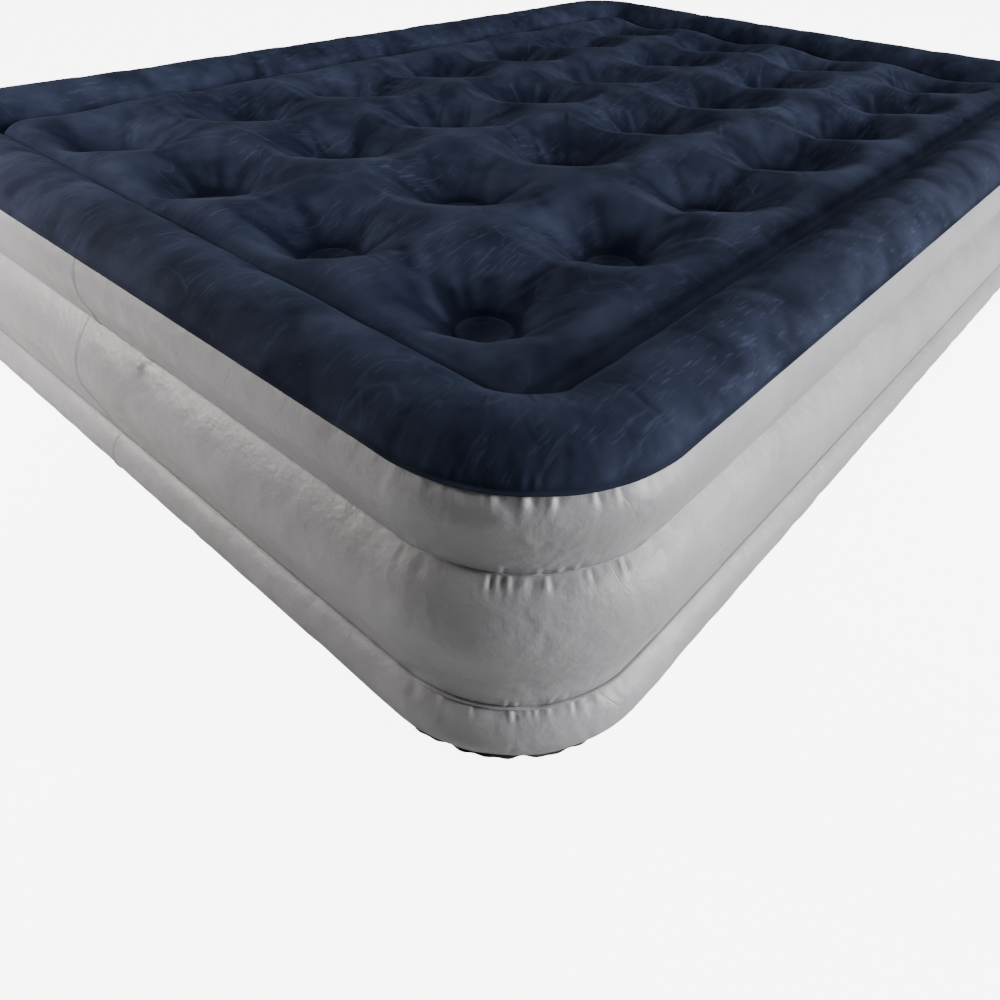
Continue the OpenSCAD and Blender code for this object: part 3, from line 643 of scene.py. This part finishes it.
FINISHES = {
    "flock": flock,
    "side_pvc": side_pvc,
    "base_pvc": base_pvc,
    "inner_pvc": inner_pvc,
    "pump_dark": moulded_finish("plastic_charcoal", (0.030, 0.032, 0.036, 1), (0.060, 0.062, 0.066, 1),
                                0.48, 1500.0, 0.0002, Specular_IOR_Level=0.45),
    "pump_light": moulded_finish("plastic_pale", (0.50, 0.51, 0.53, 1), (0.40, 0.405, 0.41, 1),
                                 0.34, 2200.0, 0.0001, Coat_Weight=0.15),
    "seal": moulded_finish("rubber_black", (0.016, 0.016, 0.018, 1), (0.045, 0.044, 0.043, 1),
                           0.72, 1100.0, 0.0002, Specular_IOR_Level=0.3),
    "steel": metal_finish("steel_drawn", (0.58, 0.58, 0.59, 1), (0.42, 0.42, 0.43, 1), 0.30, (1, 6, 6)),
    "bush": metal_finish("bronze_sintered", (0.55, 0.40, 0.20, 1), (0.36, 0.25, 0.13, 1), 0.46, (1, 1, 1)),
}
print("finishes:", sorted(FINISHES))

# %% [markdown]
# ## Blowing the skin up
# Cloth simulation gives creases that look right, because they come from spare cloth and not from
# a brush. The seams are pinned. Air pressure pushes the skin outwards, and the cloth grows a
# little: most beside a weld in a corner, least on the straights. Growth is written as a shrink
# below zero, with a vertex group that says how much of it each point gets. All pieces run in one
# pass through the same frames. Afterwards the moves are capped and smoothed.

# %% Spare cloth
MOST_GROWTH = 0.12


def ring_growth(run, straight, corner_extra, reach, bottom=1.0, top=1.0):
    """Growth for each row and station of a ring, larger near its welds in the corners."""
    near = bottom * np.exp(-run / reach) + top * np.exp(-(run[-1] - run) / reach)
    return straight + corner_extra * np.clip(near, 0, 1)[:, None] * IN_CORNER[None]


def add_group(piece, name, weights):
    """A vertex group from an array, in a few steps of equal weight."""
    group = piece.vertex_groups.new(name=name)
    steps = np.round(np.clip(weights, 0, 1) * 40).astype(int)
    for step in range(1, 41):
        chosen = np.flatnonzero(steps == step)
        if len(chosen):
            group.add(chosen.tolist(), step / 40, "REPLACE")


def blow_up(jobs, frames, pressure):
    """Runs cloth on every (piece, growth, pinned, cap) together and keeps the capped moves."""
    scene = bpy.context.scene
    scene.frame_start, scene.frame_end = 1, frames
    for piece, growth, pinned, cap in jobs:
        add_group(piece, "weld", pinned.astype(float))
        add_group(piece, "tight", 1 - np.clip(growth / MOST_GROWTH, 0, 1))
        air = piece.modifiers.new("air", "CLOTH")
        cloth = air.settings
        cloth.quality = 5
        cloth.mass = 0.05
        cloth.tension_stiffness = cloth.compression_stiffness = 15
        cloth.shear_stiffness = 5
        cloth.bending_stiffness = 0.1
        cloth.tension_damping = cloth.compression_damping = cloth.shear_damping = 1
        cloth.use_pressure = True
        cloth.uniform_pressure_force = pressure
        cloth.effector_weights.gravity = 0
        cloth.vertex_group_mass = "weld"
        cloth.vertex_group_shrink = "tight"
        cloth.shrink_min = -MOST_GROWTH
        cloth.shrink_max = 0
        air.collision_settings.use_collision = False
        air.point_cache.frame_start, air.point_cache.frame_end = 1, frames
    for number in range(1, frames + 1):
        scene.frame_set(number)
    ready = bpy.context.evaluated_depsgraph_get()
    for piece, growth, pinned, cap in jobs:
        start = read_points(piece.data)
        move = read_points(piece.evaluated_get(ready).data) - start
        length = np.linalg.norm(move, axis=1, keepdims=True)
        move *= cap * np.tanh(length / cap) / np.maximum(length, 1e-9)
        piece.modifiers.remove(piece.modifiers["air"])
        piece.vertex_groups.clear()
        write_points(piece, start + move)
        print(piece.name, "moved up to", round(1000 * float(length.max()), 1), "mm, mean",
              round(1000 * float(length.mean()), 2))
    scene.frame_set(1)


def softened_moves(move, closed, passes):
    """Evens out moves over a grid, so that no single point stands out."""
    for _ in range(passes):
        side = (np.roll(move, 1, 1) + np.roll(move, -1, 1)) / 2
        if not closed:
            side[:, 0], side[:, -1] = move[:, 0], move[:, -1]
        move = 0.5 * move + 0.5 * side
        middle = move.copy()
        middle[1:-1] = 0.5 * move[1:-1] + 0.25 * (move[:-2] + move[2:])
        move = middle
    return move


# %% [markdown]
# The first and the last row of a ring are its welds, so they are pinned. A ring grows most where
# it has most cloth to spare, beside the welds in the corners.

# %% The rings and their pins
rings = {"upper": (upper_wall, upper_rows, upper_run), "middle": (middle_wall, middle_rows, middle_run),
         "lower": (lower_wall, lower_rows, lower_run), "rim": (rim_roll, rim_rows, rim_run)}
rest_shape = {key: placed(rows) for key, (piece, rows, run) in rings.items()}


def ends_pinned(rows):
    """True for the first and the last row of a ring, which are its welds."""
    pinned = np.zeros((rows, STATIONS), bool)
    pinned[0], pinned[-1] = True, True
    return pinned


pump_low, pump_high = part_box("pump_surround")


def outside_pump(points):
    """How far each point lies outside the pump's surround, seen from the head end."""
    y = np.abs(points[..., 1] - (pump_low.y + pump_high.y) / 2) - (pump_high.y - pump_low.y) / 2
    z = np.abs(points[..., 2] - (pump_low.z + pump_high.z) / 2) - (pump_high.z - pump_low.z) / 2
    gap = np.hypot(np.maximum(y, 0), np.maximum(z, 0)) + np.minimum(np.maximum(y, z), 0)
    return np.where(points[..., 0] > 0, gap, 1.0)


# %% [markdown]
# The middle tier is welded to the pump's surround, so it lies flat just behind the surround's
# flange and swells again within a finger's width of it.

# %% A flat seat for the pump
flat_x = pump_high.x - 1.8 * MM
beside = outside_pump(rest_shape["middle"])
hold = np.clip(1 - beside / (14 * MM), 0, 1) ** 2
rest_shape["middle"][..., 0] += hold * (flat_x - rest_shape["middle"][..., 0])
write_points(middle_wall, rest_shape["middle"])
print("points held flat:", int(np.count_nonzero(hold == 1)))

# %% [markdown]
# A tiny shake on the free points lets the cloth choose where to pucker.

# %% Growth of the rings
SHAKE = 0.0002
growths = {"upper": ring_growth(upper_run, 0.005, 0.045, 12 * MM),
           "middle": ring_growth(middle_run, 0.005, 0.050, 14 * MM),
           "lower": ring_growth(lower_run, 0.006, 0.055, 12 * MM),
           "rim": ring_growth(rim_run, 0.010, 0.05, 20 * MM, top=0.6)}
caps = {"upper": 4 * MM, "middle": 5 * MM, "lower": 4 * MM, "rim": 6 * MM}
jobs = []
for key, (piece, rows, run) in rings.items():
    pinned = ends_pinned(len(rows))
    if key == "middle":
        pinned |= beside < 2 * MM
    shake = rng.normal(0, SHAKE, rest_shape[key].shape)
    write_points(piece, rest_shape[key] + np.where(pinned[..., None], 0, shake))
    jobs.append((piece, growths[key].reshape(-1), pinned.reshape(-1), caps[key]))
print("most growth:", {key: round(float(growth.max()), 3) for key, growth in growths.items()})

# %% [markdown]
# The panel is pinned at its edge and at every weld. Its faces beyond the round corners are taken
# away before the cloth runs.

# %% Growth of the panel


def select_faces(piece, chosen):
    """Selects the faces that pass a test, and nothing else, and stays in edit mode."""
    bpy.ops.object.select_all(action="DESELECT")
    bpy.context.view_layer.objects.active = piece
    piece.select_set(True)
    bpy.ops.object.mode_set(mode="EDIT")
    bpy.ops.mesh.select_mode(type="FACE")
    bpy.ops.mesh.select_all(action="DESELECT")
    bpy.ops.object.mode_set(mode="OBJECT")
    for face in piece.data.polygons:
        face.select = bool(chosen(face))
    bpy.ops.object.mode_set(mode="EDIT")


panel_r = weld_distance(gx, gy)
panel_pinned = (past < 1 * MM) | (panel_r < COIL_R)
panel_growth = 0.008 + 0.035 * np.exp(-np.maximum(panel_r - COIL_R, 0) / (24 * MM))
panel_shake = rng.normal(0, SHAKE, panel_points.shape)
write_points(panel, panel_points + np.where(panel_pinned[..., None], 0, panel_shake))
jobs.append((panel, panel_growth.reshape(-1), panel_pinned.reshape(-1), 7 * MM))
beyond_groove = (past < -0.1 * MM).reshape(-1)
select_faces(panel, lambda face: all(beyond_groove[v] for v in face.vertices))
bpy.ops.mesh.delete(type="ONLY_FACE")
bpy.ops.object.mode_set(mode="OBJECT")
print("panel faces inside the groove:", len(panel.data.polygons))

# %% [markdown]
# The full build takes the moves from the simulation.

# %% Run the cloth
FRAMES, PRESSURE = 18, 4.0
PASSES = 2
blow_up(jobs, FRAMES, PRESSURE)

shaped = {}
for key, (piece, rows, run) in rings.items():
    move = read_points(piece.data).reshape(rest_shape[key].shape) - rest_shape[key]
    shaped[key] = rest_shape[key] + softened_moves(move, True, PASSES)
panel_move = read_points(panel.data).reshape(panel_points.shape) - panel_points
panel_shape = panel_points + softened_moves(panel_move, False, PASSES)
print("largest move kept:", {key: round(1000 * float(np.abs(shaped[key] - rest_shape[key]).max()), 1)
                             for key in shaped})

# %% [markdown]
# ## Puckers and creases
# The folds at the welds in the corners are deeper than a short simulation makes them. Each is a
# narrow ridge that starts at the weld and fades within a few centimetres, at a place and a depth
# of its own. Creases elsewhere come from how the bed was packed: short straight ridges, and one
# small star where the sheet was once pinched. All are moved in code along the skin's own normal.

# %% Fold fields


def ring_normals(points):
    """The outward direction at every point of a ring."""
    along = np.roll(points, -1, 1) - np.roll(points, 1, 1)
    upwards = np.gradient(points, axis=0)
    normal = np.cross(along, upwards)
    return normal / np.maximum(np.linalg.norm(normal, axis=2, keepdims=True), 1e-9)


def lap_distance(spot):
    """Signed distance round the bed from each station to a spot."""
    return (RUN[None] - spot + LAP / 2) % LAP - LAP / 2


def pucker_field(run, where, count, depth, length, width):
    """Random narrow folds that start at one weld of a ring and fade away from it."""
    reach = (run if where == "first" else run[-1] - run)[:, None]
    field = np.zeros((len(run), STATIONS))
    for _ in range(count * 6):
        spot, draw, size = rng.uniform(0, LAP), rng.uniform(0, 1), rng.uniform(0.35, 1.0)
        slant = rng.normal(0, 0.25)
        station = int(np.argmin(np.abs(RUN - spot)))
        if draw > 0.10 + 0.90 * IN_CORNER[station]:
            continue
        away = lap_distance(spot) - slant * reach
        broad = width * (0.6 + size) * (1 + reach / length)
        fade = np.exp(-(reach / (length * (0.5 + size))) ** 1.6)
        wave = np.exp(-(away / broad) ** 2) - 0.6 * np.exp(-((away - 1.6 * broad) / broad) ** 2)
        field += depth * size * fade * wave
    return field * np.clip(reach / (3 * MM), 0, 1)


def tick_field(run, where, count, depth, length, width):
    """Short sharp gathers that bunch up at a weld in the middle of each corner."""
    reach = (run if where == "first" else run[-1] - run)[:, None]
    corners = RUN[np.flatnonzero(np.diff(IN_CORNER == 1.0, prepend=0) > 0) + CORNER_STATIONS // 2]
    field = np.zeros((len(run), STATIONS))
    for corner in corners:
        for _ in range(count):
            away = lap_distance(corner + rng.normal(0, 48 * MM)) - rng.normal(0, 0.2) * reach
            size = rng.uniform(0.4, 1.0)
            fade = np.exp(-(reach / (length * (0.5 + size))) ** 2) * np.clip(reach / (2.5 * MM), 0, 1)
            wave = np.exp(-(away / width) ** 2) - 0.9 * np.exp(-((away - 1.9 * width) / width) ** 2)
            field += depth * size * fade * wave
    return field


def crease(along, across, turn, length, width, depth):
    """One short ridge at the origin of two distances, turned by an angle."""
    u = along * math.cos(turn) + across * math.sin(turn)
    w = across * math.cos(turn) - along * math.sin(turn)
    return depth * np.exp(-(w / width) ** 2) * np.clip(1 - (u / length) ** 2, 0, 1)


def crease_field(run, count, depth):
    """Small packing creases all over a ring."""
    field = np.zeros((len(run), STATIONS))
    for _ in range(count):
        along = lap_distance(rng.uniform(0, LAP))
        across = run[:, None] - rng.uniform(0.15, 0.85) * run[-1]
        turn, length = rng.normal(0, 0.9), rng.uniform(8, 30) * MM
        field += crease(along, across, turn, length, rng.uniform(2.0, 3.4) * MM,
                        depth * rng.uniform(-1, 1))
    return field


def star(run, spot, height, size, depth):
    """Ridges that run out from one pinched point."""
    along, across = lap_distance(spot), run[:, None] - height
    field = np.zeros((len(run), STATIONS))
    for turn in (0.2, 0.9, 1.5, 2.2, 2.8):
        ray = turn + rng.normal(0, 0.1)
        field += crease(along, across, ray, size * rng.uniform(0.6, 1), 2.6 * MM, depth)
    return field


def station_run(y):
    """The run of the foot wall's station at y."""
    foot = np.flatnonzero(NORMAL[:, 0] < -0.999)
    return RUN[foot[np.argmin(np.abs(PLAN[foot, 1] - y))]]


# %% [markdown]
# The rings get their folds, their packing creases and the one star, all faded out near the pump.

# %% Fold the rings
STAR_Y = -88 * MM
PACKING_CREASES = 380
star_spot = station_run(STAR_Y)
# Each entry gives the weld's row, the count, and the folds' depth, length and width
FOLDS = {
    "upper": [("last", 24, 1.5 * MM, 11 * MM, 2.8 * MM), ("first", 18, 1.1 * MM, 10 * MM, 3.0 * MM)],
    "middle": [("last", 22, 1.4 * MM, 13 * MM, 3.0 * MM), ("first", 20, 1.1 * MM, 11 * MM, 3.0 * MM)],
    "lower": [("last", 24, 1.6 * MM, 11 * MM, 3.0 * MM), ("first", 44, 1.9 * MM, 11 * MM, 3.4 * MM)],
    "rim": [("first", 26, 0.9 * MM, 18 * MM, 5.0 * MM)],
}
TICKS = {
    "upper": [("last", 9, 2.6 * MM, 8 * MM, 2.6 * MM), ("first", 8, 2.6 * MM, 7 * MM, 2.6 * MM)],
    "middle": [("last", 9, 3.0 * MM, 8 * MM, 2.6 * MM), ("first", 8, 2.4 * MM, 7 * MM, 2.6 * MM)],
    "lower": [("last", 9, 2.6 * MM, 7 * MM, 2.6 * MM)],
    "rim": [("first", 5, 1.0 * MM, 8 * MM, 3.0 * MM)],
}
for key, (piece, rows, run) in rings.items():
    field = sum(pucker_field(run, *fold) for fold in FOLDS[key])
    field += sum(tick_field(run, *ticks) for ticks in TICKS[key])
    field += crease_field(run, PACKING_CREASES, 0.8 * MM)
    if key == "middle":
        field += star(run, star_spot, run[-1] - 12 * MM, 46 * MM, 1.9 * MM)
    if key == "upper":
        field += star(run, star_spot + 12 * MM, 10 * MM, 34 * MM, 1.5 * MM)
    if key == "middle":
        field *= np.clip(outside_pump(shaped[key]) / (20 * MM), 0, 1)
    shaped[key] = shaped[key] + field[..., None] * ring_normals(shaped[key])
    write_points(piece, shaped[key])
print("rings folded")

# %% [markdown]
# Creases also run out from every weld of the panel, where the pull of the coil gathers the sheet.
# The panel gets its extra points first, because those creases are narrower than its grid.

# %% [markdown]
# The panel's grid is too coarse for fine creases, so it is subdivided once, after the cloth.

# %% Finer points for the panel


def apply_modifier(piece, kind, **settings):
    """Adds a modifier with its settings and applies it."""
    modifier = piece.modifiers.new(kind.lower(), kind)
    for key, value in settings.items():
        setattr(modifier, key, value)
    bpy.context.view_layer.objects.active = piece
    bpy.ops.object.modifier_apply(modifier=modifier.name)


write_points(panel, panel_shape)
select_faces(panel, lambda face: True)
bpy.ops.mesh.delete_loose(use_verts=True, use_edges=True, use_faces=False)
face_outwards()
apply_modifier(panel, "SUBSURF", levels=1, render_levels=1)
points = read_points(panel.data)
print("panel points", len(points))

# %% [markdown]
# A few creases run out from every weld like spokes, and short ones lie anywhere.

# %% Fold the panel
SPOKES = 5
SPOKE_DEPTH = 1.3 * MM
PANEL_CREASES = 150
rise = np.zeros(len(points))
for weld_x in COILS_X:
    for weld_y in COILS_Y:
        dx, dy = points[:, 0] - weld_x, points[:, 1] - weld_y
        near = np.flatnonzero(np.hypot(dx, dy) < 130 * MM)
        r = np.hypot(dx[near], dy[near])
        bearing = np.arctan2(dy[near], dx[near])
        for _ in range(SPOKES):
            turn, size = rng.uniform(-math.pi, math.pi), rng.uniform(0.3, 1.0)
            off = (bearing - turn + math.pi) % (2 * math.pi) - math.pi
            width = rng.uniform(5.0, 9.0) * MM
            along = np.clip((r - COIL_R) / (60 * MM * size), 0, 1)
            fade = np.sin(math.pi * along) ** 0.8
            rise[near] += SPOKE_DEPTH * size * np.exp(-(off * r / width) ** 2) * fade
for _ in range(PANEL_CREASES):
    at_x = rng.uniform(-1, 1) * (HALF_L - GROOVE_INSET)
    at_y = rng.uniform(-1, 1) * (HALF_W - GROOVE_INSET)
    rise += crease(points[:, 0] - at_x, points[:, 1] - at_y, rng.uniform(0, math.pi),
                   rng.uniform(20, 60) * MM, rng.uniform(3, 5) * MM, rng.uniform(-0.8, 1.0) * MM)
inner = edge_distance(points[:, 0], points[:, 1], GROOVE_INSET, PANEL_CORNER)
rise *= np.clip(inner / (12 * MM), 0, 1)
points[:, 2] += rise
write_points(panel, points)
print("panel creases up to", round(1000 * float(rise.max()), 1), "mm")

# %% [markdown]
# ## Marking the folds
# Each point gets a number from -1 in a valley to 1 on a ridge: how far it stands out from the middle of its
# neighbours. The finishes read it: the flock paints its ridges paler, as rubbed pile and painted highlight,
# and the PVC paints shade into its valleys.

# %% Fold marks


def mark_folds(piece, full):
    """Writes the fold attribute; a point that stands out by full gets 1."""
    mesh = piece.data
    ends = np.zeros(len(mesh.edges) * 2, np.int32)
    mesh.edges.foreach_get("vertices", ends)
    ends = ends.reshape(-1, 2)
    count = np.maximum(np.bincount(ends.reshape(-1), minlength=len(mesh.vertices)), 1)
    here = read_points(mesh)
    normals = np.zeros(len(mesh.vertices) * 3, np.float32)
    mesh.vertex_normals.foreach_get("vector", normals)
    normals = normals.reshape(-1, 3)
    around = here
    for _ in range(3):
        total = np.zeros_like(here)
        for k in range(3):
            total[:, k] = (np.bincount(ends[:, 0], around[ends[:, 1], k], len(here))
                           + np.bincount(ends[:, 1], around[ends[:, 0], k], len(here)))
        around = total / count[:, None]
    proud = np.sum((here - around) * normals, axis=1)
    marks = np.clip(proud / full, -1, 1).astype(np.float32)
    mesh.attributes.new("fold", "FLOAT", "POINT").data.foreach_set("value", marks)


for key, (piece, rows, run) in rings.items():
    apply_modifier(piece, "SUBSURF", levels=1, render_levels=1)
    mark_folds(piece, 0.8 * MM)
mark_folds(panel, 0.8 * MM)
skins = [rim_roll, panel, upper_wall, middle_wall, lower_wall]
print("triangles in the skin:", sum(2 * len(skin.data.polygons) for skin in skins))

# %% [markdown]
# ## The weld discs
# Under each dimple a coil is welded to the top sheet. The hot tool presses the pile down in a disc
# and leaves a raised ring round it. One disc is made by insetting a circle step by step, and then
# copied to the other 27 welds, each copy with a mesh of its own.

# %% Weld discs
DISC_STEPS = [(2.0, 1.8), (3.0, 1.9), (3.5, 0.1), (2.5, -2.2), (3.0, -0.6), (9.0, 0.0), (7.0, 0.2)]
bpy.ops.object.select_all(action="DESELECT")
bpy.ops.mesh.primitive_circle_add(vertices=40, radius=COIL_R + 1.5 * MM, fill_type="NGON",
                                  location=(COILS_X[0], COILS_Y[0], WELD_Z - 0.6 * MM))
first_disc = bpy.context.object
bpy.ops.object.transform_apply(location=True, rotation=True, scale=True)
bpy.ops.object.mode_set(mode="EDIT")
for thickness, depth in DISC_STEPS:
    bpy.ops.mesh.inset(thickness=thickness * MM, depth=depth * MM)
bpy.ops.object.mode_set(mode="OBJECT")
apply_modifier(first_disc, "SOLIDIFY", thickness=0.9 * MM, offset=-1)
apply_modifier(first_disc, "SUBSURF", levels=1, render_levels=1)
first_disc.data.materials.append(pressed_flock)
weld_discs = []
for i, weld_x in enumerate(COILS_X):
    for j, weld_y in enumerate(COILS_Y):
        disc = first_disc if not weld_discs else bpy.data.objects.new("disc", first_disc.data.copy())
        if weld_discs:
            bpy.context.collection.objects.link(disc)
            moved = read_points(disc.data) + [weld_x - COILS_X[0], weld_y - COILS_Y[0], 0]
            write_points(disc, moved)
        disc.name = "weld_disc_%02d" % (len(weld_discs) + 1)
        weld_discs.append(disc)
print("weld discs:", len(weld_discs))

# %% [markdown]
# ## The seam flange
# Top sheet and side wall are welded flat against each other, and the weld stands out as a narrow
# double-edged strip of navy sheet. It is a closed outline swept round the bed, waved a little.

# %% Seam flange


def swept(name, outline, material, wave):
    """A closed outline of [inset, height] in millimetres, swept round the bed with a wave in height."""
    rows = np.array(outline + outline[:1]) * MM
    piece = new_grid(name, len(rows), STATIONS)
    points = placed(rows)
    points[..., 2] += wave[None]
    write_points(piece, points)
    bridge_ends(piece, len(rows))
    bpy.ops.mesh.select_all(action="SELECT")
    bpy.ops.mesh.remove_doubles(threshold=0.00001)
    face_outwards()
    piece.data.materials.append(material)
    return piece


def soft_wave(amount, pitch):
    """A gentle irregular wave round the bed, stronger in the corners."""
    phase = rng.uniform(0, 6.28, 3)
    wave = sum(np.sin(2 * math.pi * RUN / (pitch * k) + p) for k, p in zip((1.0, 1.63, 2.9), phase))
    return amount * wave / 3 * (0.35 + 0.65 * IN_CORNER)


seam_in = SEAM_INSET / MM
seam_up = SEAM_Z / MM
seam_flange = swept("seam_flange", [
    (seam_in + 4, seam_up - 1.4), (seam_in - 2.6, seam_up - 1.5), (seam_in - 3.2, seam_up - 0.9),
    (seam_in - 2.6, seam_up - 0.2), (seam_in - 1.4, seam_up + 0.0), (seam_in - 0.8, seam_up + 0.8),
    (seam_in + 0.2, seam_up + 1.5), (seam_in + 4, seam_up + 1.8)], pressed_flock, soft_wave(0.5 * MM, 0.06))
print("seam flange", len(seam_flange.data.polygons))

# %% [markdown]
# The two waist welds show in the same way, as a slim grey lip deep in each groove, which catches
# the light. They are swept like the flange.

# %% Waist lips
root = WAIST_INSET / MM
waist_lips = []
for name, weld_z, proud in (("waist_lip_top", WAIST_TOP_Z, 2.5), ("waist_lip_low", WAIST_LOW_Z, 5.0)):
    height = weld_z / MM
    lip = swept(name, [(root, height - 0.7), (root - proud + 0.6, height - 0.8),
                       (root - proud, height - 0.2), (root - proud + 0.6, height + 0.5),
                       (root, height + 0.7)], side_pvc, soft_wave(0.8 * MM, 0.05))
    waist_lips.append(lip)
print("waist lips:", len(waist_lips))

# %% [markdown]
# ## The base sheet
# The base is a dark, heavier sheet. Its edge is welded to the lowest tier and stands out a little
# under it, scalloped by the puckers in the corners. The flat middle lies on the floor.

# %% Base sheet
base_rows = np.array([(52, 6.2), (46, 5.6), (41, 5.0), (37.5, 4.3), (36, 3.3), (36.5, 2.2), (39, 1.3),
                      (44, 0.7), (54, 0.5), (74, 0.4)]) * MM
base_sheet = new_grid("base_sheet", len(base_rows), STATIONS)
base_points = placed(base_rows)
scallop = soft_wave(2.4 * MM, 0.030) + 0.6 * MM * IN_CORNER
reach_out = np.clip((50 * MM - base_rows[:, 0]) / (12 * MM), 0, 1)
base_points[..., :2] += (reach_out[:, None] * scallop[None])[..., None] * NORMAL[None]
base_points[..., 2] += np.clip(reach_out[:, None] * soft_wave(0.8 * MM, 0.029)[None], -0.9 * MM, 2 * MM)
write_points(base_sheet, base_points)
bridge_ends(base_sheet, len(base_rows))
bpy.ops.mesh.select_all(action="DESELECT")
bpy.ops.object.mode_set(mode="OBJECT")
innermost = (len(base_rows) - 1) * STATIONS
for edge in base_sheet.data.edges:
    edge.select = min(edge.vertices) >= innermost
bpy.ops.object.mode_set(mode="EDIT")
bpy.ops.mesh.edge_face_add()
face_outwards()
base_sheet.data.materials.append(base_pvc)
print("base sheet faces", len(base_sheet.data.polygons))

# %% [markdown]
# ## Splices in the foot wall
# Each tier is a strip of PVC whose ends overlap and are welded. The overlap shows as a slim upright
# strip on the foot wall, at a place of its own on each tier. It follows the blown-up wall.

# %% Splices
SPLICES = {"upper": 12 * MM, "middle": 54 * MM, "lower": 52 * MM}
splices = []
for key, splice_y in SPLICES.items():
    wall = shaped[key]
    normals = ring_normals(wall)
    middle = int(np.argmin(np.abs(RUN - station_run(splice_y))))
    rows = len(wall)
    lean = np.round(1.2 * np.sin(np.linspace(0, 2.4, rows))).astype(int)
    strip = new_grid("splice_" + key, rows, 7)
    lift = np.array([-0.4, 0.9, 1.3, 0.9, 0.8, 0.5, -0.4]) * MM
    side = np.linspace(-5.5, 5.5, 7) * MM
    points = np.zeros((rows, 7, 3))
    for row in range(rows):
        centre = wall[row, middle + lean[row]]
        along = wall[row, middle + lean[row] + 1] - wall[row, middle + lean[row] - 1]
        along = along / np.linalg.norm(along)
        points[row] = centre + side[:, None] * along + lift[:, None] * normals[row, middle + lean[row]]
    write_points(strip, points)
    select_faces(strip, lambda face: True)
    face_outwards()
    apply_modifier(strip, "SUBSURF", levels=1, render_levels=1)
    if np.mean([face.normal.x for face in strip.data.polygons]) > 0:
        strip.data.flip_normals()
    strip.data.materials.append(side_pvc)
    mark_folds(strip, 0.6 * MM)
    splices.append(strip)
print("splices:", [s.name for s in splices])

# %% [markdown]
# ## The opening for the pump
# The middle tier is cut away where the pump's surround is welded in. Selecting by place and
# deleting the faces leaves a clean hole, and the surround's flange covers its edge.

# %% Cut the wall open
FLANGE_LAP = 9 * MM
select_faces(middle_wall, lambda face: face.center.x > HALF_L - 60 * MM and
             pump_low.y + FLANGE_LAP < face.center.y < pump_high.y - FLANGE_LAP and
             pump_low.z + FLANGE_LAP < face.center.z < pump_high.z - FLANGE_LAP)
bpy.ops.mesh.delete(type="FACE")
bpy.ops.object.mode_set(mode="OBJECT")
print("middle wall faces left", len(middle_wall.data.polygons))

# %% [markdown]
# ## The pump's outer parts
# Moulded parts have small rounded edges that catch the light. The CAD shapes are right in size but
# sharp, so each part that shows is copied, its loose triangles merged, its flat faces joined up,
# and a small bevel put on every edge over 30 degrees.

# %% Bevelled pump parts
EDGE_RADII = {"pump_surround": 1.2, "pump_faceplate": 0.7, "compartment_lid": 0.6, "port_cap": 0.5,
              "control_dial": 0.5, "intake_grille": 0.25, "port_duct": 0.35, "cord_tub": 0.4,
              "power_inlet": 0.3, "faceplate_screws": 0.2}
slot_of = {part["node"]: part["material_slot"] for part in frame["record"]["subparts"]}


def merged_copy(node, threshold):
    """A copy of a CAD node with its points merged and its finish, left in edit mode."""
    copied = bpy.data.objects.new(node + "_finished", frame["nodes"][node].data.copy())
    bpy.context.collection.objects.link(copied)
    copied.data.materials.clear()
    copied.data.materials.append(FINISHES[slot_of[node]])
    select_faces(copied, lambda face: True)
    bpy.ops.mesh.select_all(action="SELECT")
    bpy.ops.mesh.remove_doubles(threshold=threshold)
    return copied


def stand_for(piece, node):
    """The piece rides with the CAD node's body, and the CAD node is hidden, so the piece stands in its
    place.
    """
    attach(piece, frame["nodes"][node]["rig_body"])
    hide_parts(node)


for node, radius in EDGE_RADII.items():
    part = merged_copy(node, 0.02 * MM)
    bpy.ops.mesh.dissolve_limited(angle_limit=math.radians(0.5))
    bpy.ops.object.mode_set(mode="OBJECT")
    apply_modifier(part, "BEVEL", width=radius * MM, segments=2, limit_method="ANGLE",
                   angle_limit=math.radians(30))
    bpy.ops.object.shade_smooth_by_angle(angle=math.radians(32))
    stand_for(part, node)
print("bevelled parts:", len(EDGE_RADII))

# %% [markdown]
# ## The check valve's spring
# The spring can't slide with the poppet, because its far end rests in the valve chamber. In the real valve
# it shortens; here its copy is only merged and smoothed, and rides with the CAD node's body.

# %% Spring
spring = merged_copy("check_spring", 0.01 * MM)
bpy.ops.object.mode_set(mode="OBJECT")
bpy.ops.object.shade_smooth_by_angle(angle=math.radians(40))
stand_for(spring, "check_spring")
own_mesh(spring)

# %% [markdown]
# ## Every piece gets its body and its finish
# The skin rides on the mattress. Each CAD node that still shows, or would show when taken apart,
# gets the finish of its slot.

# %% Ride, replace and finish
SKIN = [(rim_roll, "flocked_top_sheet", flock, "flock"), (panel, "flocked_top_sheet", flock, "flock"),
        (upper_wall, "upper_side_band", side_pvc, "side_pvc"),
        (middle_wall, "middle_side_band", side_pvc, "side_pvc"),
        (lower_wall, "lower_side_band", side_pvc, "side_pvc")]
for piece, node, finish, slot in SKIN:
    piece.data.materials.append(finish)
    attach(piece, "mattress")
    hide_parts(node)
EXTRAS = [(disc, "flock") for disc in weld_discs] + [(seam_flange, "flock"), (base_sheet, "base_pvc")]
EXTRAS += [(strip, "side_pvc") for strip in splices + waist_lips]
for piece, slot in EXTRAS:
    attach(piece, "mattress")
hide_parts("bottom_sheet")
for piece in [entry[0] for entry in SKIN] + [entry[0] for entry in EXTRAS]:
    piece.data.shade_smooth()
for node, source in frame["nodes"].items():
    source.data.materials.clear()
    source.data.materials.append(FINISHES[slot_of[node]])
